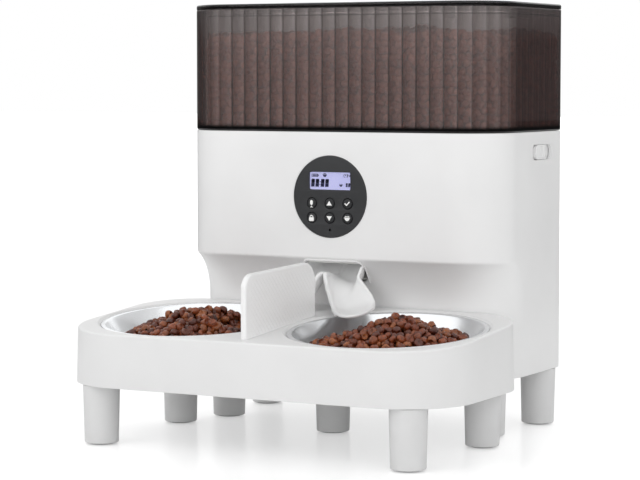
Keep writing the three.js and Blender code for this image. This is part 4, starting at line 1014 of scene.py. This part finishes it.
def makePanel():
    sizes = {"thickness": 3.7, "window": (37.6, 13.9), "windowRise": 12.9, "windowGap": 0.6, "button": 4.2, "gap": 0.4,
             "spacing": 16.5, "rows": (-5.5, -17.5), "proud": 0.7, "edge": 0.5, "flange": 2.5, "flangeHeight": 1.6,
             "voiceHole": (-27.4, 1.0), "screenBorder": 5, "screenHeight": 3.2}
    windowZ = panelZ + sizes["windowRise"]
    width, height = sizes["window"]
    border, gap, (drop, hole) = sizes["screenBorder"], sizes["windowGap"], sizes["voiceHole"]
    places = [(column * sizes["spacing"], panelZ + drop) for drop in sizes["rows"] for column in (-1, 0, 1)]
    back = panelFront + sizes["thickness"]
    loops = [circleLoop(0, panelZ, panel["radius"], 160), roundedLoop(0, windowZ, width + gap, height + gap, 1.2),
             *[circleLoop(x, z, sizes["button"] + sizes["gap"], 48) for x, z in places],
             circleLoop(0, panelZ + drop, hole, 24)]
    face = flatSkin(loops, panelFront, back, sizes["edge"])
    inner, outer, neck = panel["radius"] - sizes["flange"], panel["radius"] + sizes["flange"], panel["radius"] - 0.4
    start, near = back - 0.6, body["lipFront"] + body["wall"] + seat
    far = near + sizes["flangeHeight"]
    collar = rounded([(inner, start), (neck, start), (neck, near), (outer, near, 0.3), (outer, far, 0.3), (inner, far),
                      (inner, start)], 2)
    ring = moved(turnedSkin(collar, 128), facingFront(0, 0, panelZ))
    addPiece("panel_bezel", joinSkins(face, ring), panelAbs, "feeder", ["control_bezel"], sharp=30)

    opening = [roundedLoop(0, windowZ, width, height, 1.0)]
    window = flatSkin(opening, panelFront + 0.5, panelFront + 1.9, 0.2)
    addPiece("display_window", window, windowAcrylic, "feeder", ["lcd_window"], sharp=30)
    screenFront = back + seat
    screen = flatSkin([roundedLoop(0, windowZ, width + border, height + border, 1.0)],
                      screenFront, screenFront + sizes["screenHeight"], 0.2)
    face = flatSkin(opening, panelFront + 2.05, screenFront + 0.3, 0.1)
    addPiece("display_screen", joinSkins(screen, face), displayPaintedGlow, "feeder", ["display_module"],
             sharp=30)

    length = back - panelFront + sizes["proud"]
    r = sizes["button"]
    key = rounded([(0, 0), (r * 0.55, 0.05), (r - 0.1, 0.35, 1.0), (r, length + 0.3), (r + 1, length + 0.3, 0.2),
                   (r + 1, length + 1.3, 0.2), (1.4, length + 1.3), (1.4, length + 2.4, 0.2), (0, length + 2.4)], 4)
    for i, (x, z) in enumerate(places, 1):
        place = facingFront(x, panelFront - sizes["proud"], z)
        addPiece(f"key_{i}", moved(turnedSkin(key, 48), place), keyRubber, f"button_{i}", [f"button_{i}"],
                 sharp=35)
    return windowZ, places, sizes


windowZ, keyPlaces, panelSizes = makePanel()


# The strokes of one seven-part figure, as loops round a middle.
def figureLoops(text, x, z, width, height, stroke):
    slant = 0.08
    segments = {"a": (0, 1), "g": (0, 0), "d": (0, -1), "f": (-1, 0.5), "b": (1, 0.5), "e": (-1, -0.5),
                "c": (1, -0.5)}
    lit = {"1": "bc", "2": "abged", "3": "abgcd", "4": "fgbc", "8": "abcdefg"}
    loops = []
    for part in lit[text]:
        sx, sz = segments[part]
        cx, cz = x + sx * (width - stroke) / 2, z + sz * (height - stroke) / 2
        flat = part in "agd"
        half = (width / 2 if flat else height / 4) - stroke * 0.62
        s = stroke / 2
        shape = [(-half - s, 0), (-half, s), (half, s), (half + s, 0), (half, -s), (-half, -s)]
        points = [(cx + p, cz + q) if flat else (cx + q, cz + p) for p, q in shape]
        loops.append([(p + (q - z) * slant, q) for p, q in points])
    return loops


def makeDisplayFigures():
    width, height = panelSizes["window"]
    left, right, top = -width / 2, width / 2, windowZ + height / 2
    line = top - 2.5  # the small signs stand in a row
    loops = []
    for i, x in enumerate((2.7, 6.7, 11.6, 15.6)):  # the clock
        loops += figureLoops("8", left + x, windowZ - 1.9, 3.2, 6.8, 0.45)
    loops += [circleLoop(left + 9.2 + d, windowZ - 1.9 + d * 9, 0.42, 16) for d in (-0.12, 0.12)]
    for i, text in enumerate("1234"):  # the meals of the day
        loops += figureLoops(text, right - 7.6 + i * 2.05, top - 2.6, 1.4, 2.6, 0.34)
    for i in (0, 1):  # the portions
        loops += figureLoops("8", right - 3.9 + i * 2.2, windowZ - 3.2, 1.6, 3.4, 0.34)
    loops += [roundedLoop(left + 4.4, line, 5.8, 2.5, 0.3, 2), roundedLoop(left + 4.4, line, 5.0, 1.7, 0.1, 2),
              roundedLoop(left + 7.7, line, 0.6, 1.2, 0.1, 2)]  # the battery, then its charge
    loops += [roundedLoop(left + 2.9 + i * 1.25, line, 0.95, 1.3, 0.05, 1) for i in range(4)]
    bowlX, dishX = left + 13.6, right - 9.2
    loops += [arcPoints((bowlX, top - 2.1), 1.7, 180, 360, 14), roundedLoop(bowlX, top - 1.6, 4.2, 0.4, 0.1, 2)]
    loops += [circleLoop(bowlX + d, top - 1.05, 0.32, 10) for d in (-0.8, 0.0, 0.8)]
    loops += [arcPoints((dishX, windowZ - 3.0), 1.5, 180, 360, 12),  # the portions' own dish
              roundedLoop(dishX, windowZ - 2.5, 3.6, 0.35, 0.1, 2)]
    addPiece("display_figures", flatSkin(loops, panelFront + 1.96, panelFront + 2.07), segmentInk, "feeder", sharp=30)


def makeKeySigns():
    front = panelFront - panelSizes["proud"] + 0.06
    scale = 1.3
    stem = [(-1.0, 0.9), (-1.0, -0.2), *arcPoints((0, -0.2), 1.0, 200, 340, 7),
            (1.0, -0.2), (1.0, 0.9), *arcPoints((0, 0.9), 1.0, 20, 160, 7)]
    drawn = [
        [stem, roundedLoop(0, -2.05, 0.4, 1.0, 0.1, 1), roundedLoop(0, -2.5, 1.9, 0.4, 0.1, 1)],  # voice
        [[(-1.9, -1.25), (1.9, -1.25), (0, 1.75)]],  # up
        [[(-1.9, 0.1), (-1.4, 0.6), (-0.5, -0.35), (1.4, 1.6), (1.9, 1.1), (-0.5, -1.35)]],  # tick
        [roundedLoop(0, -0.95, 3.4, 2.4, 0.4, 3),
         [*arcPoints((0, 0.35), 1.35, 0, 180, 12), *arcPoints((0, 0.35), 0.78, 180, 0, 12)]],  # lock
        [[(-1.9, 1.25), (0, -1.75), (1.9, 1.25)]],  # down
        [arcPoints((0, 0.2), 1.7, 180, 360, 14), roundedLoop(0, 0.45, 4.4, 0.45, 0.15, 2),
         *[circleLoop(d, 1.25, 0.42, 12) for d in (-1.1, 0.0, 1.1)]],  # bowl
    ]
    for i, (loops, (x, z)) in enumerate(zip(drawn, keyPlaces), 1):
        sign = [[(x + p * scale, z + q * scale) for p, q in loop] for loop in loops]
        addPiece(f"key_sign_{i}", flatSkin(sign, front - 0.14, front + 0.25), keyInk, f"button_{i}", sharp=30)


makeDisplayFigures()
makeKeySigns()
print("panel done")


def makeLatches():
    sizes = {"plate": (57.0, 15.6, 3.0), "thickness": 1.6, "knob": (22.0, 12.1, 4.0), "inner": 3.0, "proud": 0.1,
             "rib": (1.3, 8.4, 0.6), "ribs": (-5.4, -1.8, 1.8, 5.4), "ribHeight": 0.45}
    outside, z, inner, front = body["width"] / 2, latch["z"], sizes["inner"], -sizes["proud"]
    plate = flatSkin([roundedLoop(0, z, *sizes["plate"])], inner, inner + sizes["thickness"], 0.25)
    knob = flatSkin([roundedLoop(0, z, *sizes["knob"])], front, inner + 0.4, 0.7, 4)
    ribs = [flatSkin([roundedLoop(x, z, *sizes["rib"], 5)], front - sizes["ribHeight"], 0.4, 0.3, 3)
            for x in sizes["ribs"]]
    vertices, faces = joinSkins(plate, knob, *ribs)
    for name, side in (("latch_left", -1), ("latch_right", 1)):
        onSide = [(side * (outside - y), latch["y"] + x, z) for x, y, z in vertices]
        addPiece(name + "_slider", (onSide, faces), whiteAbs, name, [name], sharp=30)


def makeInlet():
    sizes = {"radius": 5.2, "bore": 2.8, "floor": 2, "pin": 1.0, "depth": 12.0}
    radius, bore, floor, pin, depth = sizes.values()
    profile = rounded([(0, 0), (radius, 0), (radius, depth, 0.4), (bore, depth, 0.4), (bore, floor), (pin, floor),
                       (pin, depth - 1, 0.3), (0, depth - 1)], 4)
    low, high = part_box("power_socket")
    centre = (low + high) / 2 / mm
    barrel = moved(turnedSkin(profile, 48), facingFront(centre.x, low.y / mm, centre.z))
    addPiece("inlet_barrel", barrel, socketNylon, "feeder", ["power_socket"], sharp=35)


makeLatches()
makeInlet()
print("latches and inlet done")


# A dimpled disc, the plain shape that every piece of kibble starts from.
def kibbleShape(piece):
    radius, half, sides = piece["radius"], piece["height"] / 2, piece["sides"]
    curve = [(0, 0.4), (0.36, 0.62), (0.7, 1.0), (1.0, 0.42)] if piece["fine"] else [(0, 0.7), (0.72, 1.0), (1.0, 0.35)]
    profile = [(radius * r, -half * h) for r, h in curve] + [(radius * r, half * h) for r, h in reversed(curve)]
    vertices, faces = turnedSkin(profile, sides)
    return np.array(vertices), faces


def scatterMesh(places, piece, seed):
    vary = ((0.88, 1.12), (0.84, 1.06), (0.85, 1.2))  # how much longer, wider and thicker a piece may be
    rng = random.Random(seed)
    base, faces = kibbleShape(piece)
    vertices, allFaces = [], []
    for place, tiltLimit in places:
        angles = [rng.uniform(-tiltLimit, tiltLimit), rng.uniform(-tiltLimit, tiltLimit), rng.uniform(0, 6.28)]
        turn = np.array(Euler(angles).to_matrix())
        scale = np.array([rng.uniform(*limits) for limits in vary])
        wave = np.array([rng.uniform(0.3, 0.7) for _ in range(3)])
        dent = 1 + 0.06 * np.sin(base @ wave * 2 + rng.uniform(0, 6.28))
        points = (base * scale * dent[:, None]) @ turn.T + np.array(place)
        start = len(vertices)
        vertices += [tuple(p) for p in points]
        allFaces += [tuple(v + start for v in face) for face in faces]
    return vertices, allFaces


# Drops round pieces one after another where the heap is lowest against the wanted surface.
def pile(target, inside, extent, gap, seed, support, most):
    tries, over, patience = 14, 1.2, 60
    rng = random.Random(seed)
    placed = np.zeros((0, 3))
    result = []
    misses = 0
    while len(result) < most and misses < patience:
        best = None
        for _ in range(tries):
            x, y = rng.uniform(*extent[0]), rng.uniform(*extent[1])
            if not inside(x, y):
                continue
            z = support(x, y)
            if len(placed):
                d2 = (placed[:, 0] - x) ** 2 + (placed[:, 1] - y) ** 2
                near = d2 < gap ** 2
                if near.any():
                    z = max(z, float(np.max(placed[near, 2] + np.sqrt(gap ** 2 - d2[near]))))
            lack = target(x, y) - z
            if best is None or lack > best[0]:
                best = (lack, x, y, z)
        if best is None or best[0] < -over:
            misses += 1
            continue
        _, x, y, z = best
        placed = np.vstack([placed, [x, y, z]])
        result.append((x, y, z))
    return result


def makeBowlKibble():
    sizes = {"piece": {"radius": 3.7, "height": 4.4, "sides": 12, "fine": True}, "gap": 5.2, "most": 1100,
             "extent": (-68, 68), "lying": 1.1, "peak": 9.0, "slope": 0.36, "reach": 65.5, "edge": 4.2, "core": 7.5,
             "coreReach": 60.0, "coreFoot": ((50, -31.2), (53, -30.4)),
             "hollow": 13.5, "hollowX": (28.0, 62.0), "hollowY": 13.0, "hollowReach": (11.0, 28.0)}
    wall = {"foot": 56.0, "top": 71.0, "low": -29, "height": 24.0}  # the free radius inside a bowl
    turns = np.linspace(0, 2 * math.pi, 73)[:-1]

    def wallRadius(z):
        return wall["foot"] + (z - wall["low"]) * (wall["top"] - wall["foot"]) / wall["height"]

    for name, side, seed in (("bowl_left", -1, 11), ("bowl_right", 1, 23)):
        def target(x, y):
            r = math.hypot(x, y - 6)
            heap = sizes["peak"] - sizes["slope"] * r + 1.5 * math.sin(x * 0.11 + seed) * math.cos(y * 0.09)
            across = -side * x  # the heap is hollow under the chute, so the bowl can tip
            (near, far), (inner, outer) = sizes["hollowX"], sizes["hollowReach"]
            away = math.hypot(max(near - across, 0, across - far), y - sizes["hollowY"])
            ease = min(max((outer - away) / (outer - inner), 0), 1)
            return heap - sizes["hollow"] * ease * ease * (3 - 2 * ease)

        def inside(x, y):
            return math.hypot(x, y) < min(sizes["reach"], wallRadius(target(x, y)) - sizes["edge"])

        def support(x, y):
            return target(x, y) - sizes["core"]

        places = pile(target, inside, (sizes["extent"],) * 2, sizes["gap"], seed, support, sizes["most"])
        places = [(x, y, z) for x, y, z in places if math.hypot(x, y) < wallRadius(z) - sizes["piece"]["radius"]]
        pieces = scatterMesh([(place, sizes["lying"]) for place in places], sizes["piece"], seed)
        # A closed core under the pieces, so that nothing shows through them.
        rings = [[(r * math.cos(a), r * math.sin(a), z) for a in turns] for r, z in sizes["coreFoot"]]
        for share in np.linspace(1, 0.05, 22):
            ring = []
            for a in turns:
                r = share * sizes["coreReach"]
                z = max(target(r * math.cos(a), r * math.sin(a)) - sizes["core"] - 0.6, -30.0)
                r = min(r, wallRadius(z) - 1.5)
                ring.append((r * math.cos(a), r * math.sin(a), z))
            rings.append(ring)
        core = skin(rings)
        item = looseObject("kibble_in_" + name, toMesh("kibble", moved(joinSkins(core, pieces), deckPlaces[side])))
        dress(item, kibbleBrown, name, 80)
        print(name, "kibble", len(places))


def makeTankKibble():
    sizes = {"piece": {"radius": 3.7, "height": 5.2, "sides": 7, "fine": False}, "gap": 6.0, "inset": 8.2, "row": 5.4,
             "step": 6.1, "level": 326.8, "floor": 2.5, "corner": 36.0, "margin": 9, "most": 1500,
             "shift": (0.9, 0.6, 1.2), "tumbled": 3.1, "lying": 1.0, "core": 13, "coreSides": 200,
             "neck": ((46, 194.0), (50, 198.0)), "funnelTop": 246.5}
    rng = random.Random(5)
    floor = body["seam"] + seat + sizes["floor"]
    outline = roundedOutline(lipBox, sizes["inset"], 48, 16)
    length = sum(math.dist(a, b) for a, b in zip(outline, [*outline[1:], outline[0]]))
    perRow = int(length / sizes["step"])

    def level(x, y):
        waves = ((1.3, x * 0.07 + 0.6), (0.9, x * 0.031 + 2.0), (1.0, y * 0.06 + x * 0.02))
        return sum((height * math.sin(angle) for height, angle in waves), sizes["level"])

    places = []
    z, k = floor + 3.6, 0
    while z < sizes["level"] + 3:
        for x, y in evenly(outline, perRow * 2)[k % 2::2]:  # every other row is set half a step on
            if z + 1.0 < level(x, y):
                place = tuple(c + rng.uniform(-most, most) for c, most in zip((x, y, z), sizes["shift"]))
                places.append((place, sizes["tumbled"]))
        z += sizes["row"]
        k += 1
    for x, y in evenly(outline, perRow):
        places.append(((x, y, level(x, y) - 1.4 + rng.uniform(-1.6, 1.5)), sizes["tumbled"]))
    margin, corner = sizes["margin"], sizes["corner"]
    half, front, rear = body["width"] / 2 - margin, body["lipFront"] + margin, body["rear"] - margin

    def inside(x, y):
        if y < front + corner and abs(x) > half - corner:
            return math.hypot(abs(x) - (half - corner), y - (front + corner)) < corner
        return True

    top = pile(lambda x, y: level(x, y) - 2.5, inside, ((-half, half), (front, rear)), sizes["gap"], 9,
               lambda x, y: level(x, y) - 8.0, sizes["most"])
    places += [(place, sizes["lying"]) for place in top]
    pieces = scatterMesh(places, sizes["piece"], 41)

    # A closed core inside the pieces: round in the mouth, then as wide as the tank.
    core = evenly(roundedOutline(lipBox, sizes["core"], 24, 12), sizes["coreSides"])

    def roundRing(radius, z):
        turns = [math.atan2(y - drum[1], x) for x, y in core]
        return [(radius * math.cos(a), drum[1] + radius * math.sin(a), z) for a in turns]

    def shrunk(scale, drop):
        return [(x * scale, drum[1] + (y - drum[1]) * scale, sizes["level"] - drop) for x, y in core]

    rings = [*[roundRing(*neck) for neck in sizes["neck"]], ringAt(core, sizes["funnelTop"]),
             ringAt(core, sizes["level"] - 9), shrunk(0.97, 7.5), shrunk(0.6, 7), shrunk(0.2, 7)]
    item = looseObject("kibble_in_tank", toMesh("kibble", joinSkins(skin(rings), pieces)))
    dress(item, kibbleStoredPaintedLight, "tank", 80)
    print("tank kibble", len(places), len(item.data.polygons))


makeBowlKibble()
makeTankKibble()
print("kibble done")


# Finishes of the CAD pieces that show as they are.
nodeFinishes = {
    "base_plate": whiteAbs, "tray_base": whiteAbs, "battery_door": whiteAbs, "chassis_deck": innerAbs,
    "portion_drum": innerAbs, "outlet_duct": innerAbs, "battery_box": innerAbs, "rotor": innerAbs,
    "rotor_gear": gearAcetal, "motor_pinion": gearAcetal, "gear_motor": motorSteel, "microphone": motorSteel,
    "speaker": socketNylon, "circuit_board": boardMask, "desiccant_box": clearPlug,
    **{f"battery_cell_{i}": cellFilm for i in (1, 2, 3)},
}
for node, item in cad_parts.items():
    if not item.hide_render:
        item.data.materials.clear()
        item.data.materials.append(nodeFinishes[node])


def makeStage():
    # The mirror values dim the low horizon where glossy faces show it, as dark cards round the set do.
    # World and mirror are brightnesses, and the heights after them say where the one turns to the other.
    studio = {"floor": "#f4f4f4", "floorRoughness": (0.16, 0.22), "floorGlow": (0.39, 1.0), "glowReach": (0.7, 3.0),
              "reach": 14.0, "world": (1.6, 0.66), "worldRise": (0.05, 0.3), "mirror": (0.1, 1.3),
              "mirrorRise": (0.06, 0.3), "mirrorDrop": (0.0, 0.93), "dropReach": (0.8, 1.6)}
    mesh = bpy.data.meshes.new("floor")
    reach, level = studio["reach"], -0.0004
    mesh.from_pydata([(-reach, -reach, level), (reach, -reach, level), (reach, reach, level), (-reach, reach, level)],
                     [], [(0, 1, 2, 3)])
    floor = looseObject("floor", mesh)
    material, tree, place = startMaterial("paleStudioFloor")
    patches = addNode(tree, "ShaderNodeTexNoise", {"Scale": 4.0}, {"Vector": place}).outputs[0]
    surface = addNode(tree, "ShaderNodeBsdfPrincipled", {"Base Color": toLinear(studio["floor"]), "IOR": 1.45}, {
        "Roughness": addNode(tree, "ShaderNodeMapRange", between(studio["floorRoughness"]),
                             {"Value": patches}).outputs[0],
    }).outputs[0]
    path = addNode(tree, "ShaderNodeLightPath").outputs
    seen = addNode(tree, "ShaderNodeMath", {"operation": "MAXIMUM"},
                   {0: path["Is Camera Ray"], 1: path["Is Transmission Ray"]}).outputs[0]
    distance = addNode(tree, "ShaderNodeVectorMath", {"operation": "LENGTH"}, {0: place}).outputs["Value"]
    fade = addNode(tree, "ShaderNodeMapRange", between(studio["floorGlow"], studio["glowReach"]),
                   {"Value": distance}).outputs[0]
    amount = addNode(tree, "ShaderNodeMath", {"operation": "MULTIPLY"}, {0: seen, 1: fade}).outputs[0]
    glow = addNode(tree, "ShaderNodeEmission", {"Color": (1, 1, 1, 1)}, {"Strength": amount}).outputs[0]
    both = addNode(tree, "ShaderNodeAddShader", None, {0: surface, 1: glow}).outputs[0]
    away = addNode(tree, "ShaderNodeMapRange", between(studio["mirrorDrop"], studio["dropReach"]),
                   {"Value": distance}).outputs[0]
    drop = addNode(tree, "ShaderNodeMath", {"operation": "MULTIPLY"}, {0: away, 1: path["Is Glossy Ray"]}).outputs[0]
    shade = addNode(tree, "ShaderNodeEmission", {"Color": (0, 0, 0, 1), "Strength": 0.0}).outputs[0]
    both = addNode(tree, "ShaderNodeMixShader", None, {0: drop, 1: both, 2: shade}).outputs[0]
    # From beneath, the floor lets the camera see the underside.
    back = addNode(tree, "ShaderNodeNewGeometry").outputs["Backfacing"]
    beneath = addNode(tree, "ShaderNodeMath", {"operation": "MULTIPLY"}, {0: back, 1: path["Is Camera Ray"]}).outputs[0]
    clear = addNode(tree, "ShaderNodeBsdfTransparent").outputs[0]
    both = addNode(tree, "ShaderNodeMixShader", None, {0: beneath, 1: both, 2: clear}).outputs[0]
    mesh.materials.append(finishMaterial(material, tree, both))

    world = bpy.data.worlds.new("studio")
    bpy.context.scene.world = world
    world.use_nodes = True
    tree = world.node_tree
    tree.nodes.clear()
    path = addNode(tree, "ShaderNodeLightPath").outputs
    seen = addNode(tree, "ShaderNodeMath", {"operation": "MAXIMUM"},
                   {0: path["Is Camera Ray"], 1: path["Is Transmission Ray"]}).outputs[0]
    heading = addNode(tree, "ShaderNodeTexCoord").outputs["Generated"]
    height = addNode(tree, "ShaderNodeSeparateXYZ", None, {0: heading}).outputs["Z"]
    # A light tent: brighter low down, so light reaches under the tray.
    tent = addNode(tree, "ShaderNodeMapRange", between(studio["world"], studio["worldRise"]),
                   {"Value": height}).outputs[0]
    plain = addNode(tree, "ShaderNodeMix", {"data_type": "FLOAT", "B": 1.0}, {0: seen, 2: tent}).outputs[0]
    mirror = addNode(tree, "ShaderNodeMapRange", between(studio["mirror"], studio["mirrorRise"]),
                     {"Value": height}).outputs[0]
    strength = addNode(tree, "ShaderNodeMix", {"data_type": "FLOAT"},
                       {0: path["Is Glossy Ray"], 2: plain, 3: mirror}).outputs[0]
    background = addNode(tree, "ShaderNodeBackground", {"Color": (1, 1, 1, 1)}, {"Strength": strength}).outputs[0]
    addNode(tree, "ShaderNodeOutputWorld", None, {"Surface": background})


# No lamp shows as a bright shape in a glossy face or through the tank.
def addLamp(name, place, target, size, power):
    light = bpy.data.lights.new(name, "AREA")
    light.shape, light.size, light.size_y, light.energy = "RECTANGLE", size[0], size[1], power
    lamp = looseObject(name, light)
    lamp.location = place
    lamp.visible_glossy = lamp.visible_transmission = False
    lamp.rotation_euler = (Vector(target) - Vector(place)).to_track_quat("-Z", "Y").to_euler()


def makeStudio():
    makeStage()
    lamps = {
        "keyLamp": {"place": (-0.9, -1.6, 1.5), "target": (0, 0, 0.15), "size": (1.4, 1.2), "power": 8.5},
        "fillLamp": {"place": (1.7, -0.9, 1.0), "target": (0, 0, 0.15), "size": (1.2, 1.2), "power": 5.0},
        "topLamp": {"place": (0.1, 0.1, 1.7), "target": (0, 0, 0.1), "size": (1.5, 1.2), "power": 2.2},
        "lowLamp": {"place": (0.3, -2.5, 0.18), "target": (0, 0, 0.1), "size": (2.0, 0.3), "power": 5.0},
    }
    for name, lamp in lamps.items():
        addLamp(name, **lamp)
    view = {"place": (0.8700, -1.64715, 0.2925), "turn": (85.91, 0.0, 28.02), "lens": 128.34}
    camera = bpy.data.cameras.new("camera")
    camera.lens, camera.sensor_width = view["lens"], 36.0
    camera.dof.use_dof = False
    item = looseObject("camera", camera)
    item.location = view["place"]
    item.rotation_euler = [math.radians(a) for a in view["turn"]]
    bpy.context.scene.camera = item
    bpy.context.scene.view_settings.view_transform = "Standard"


makeStudio()
print("studio done")
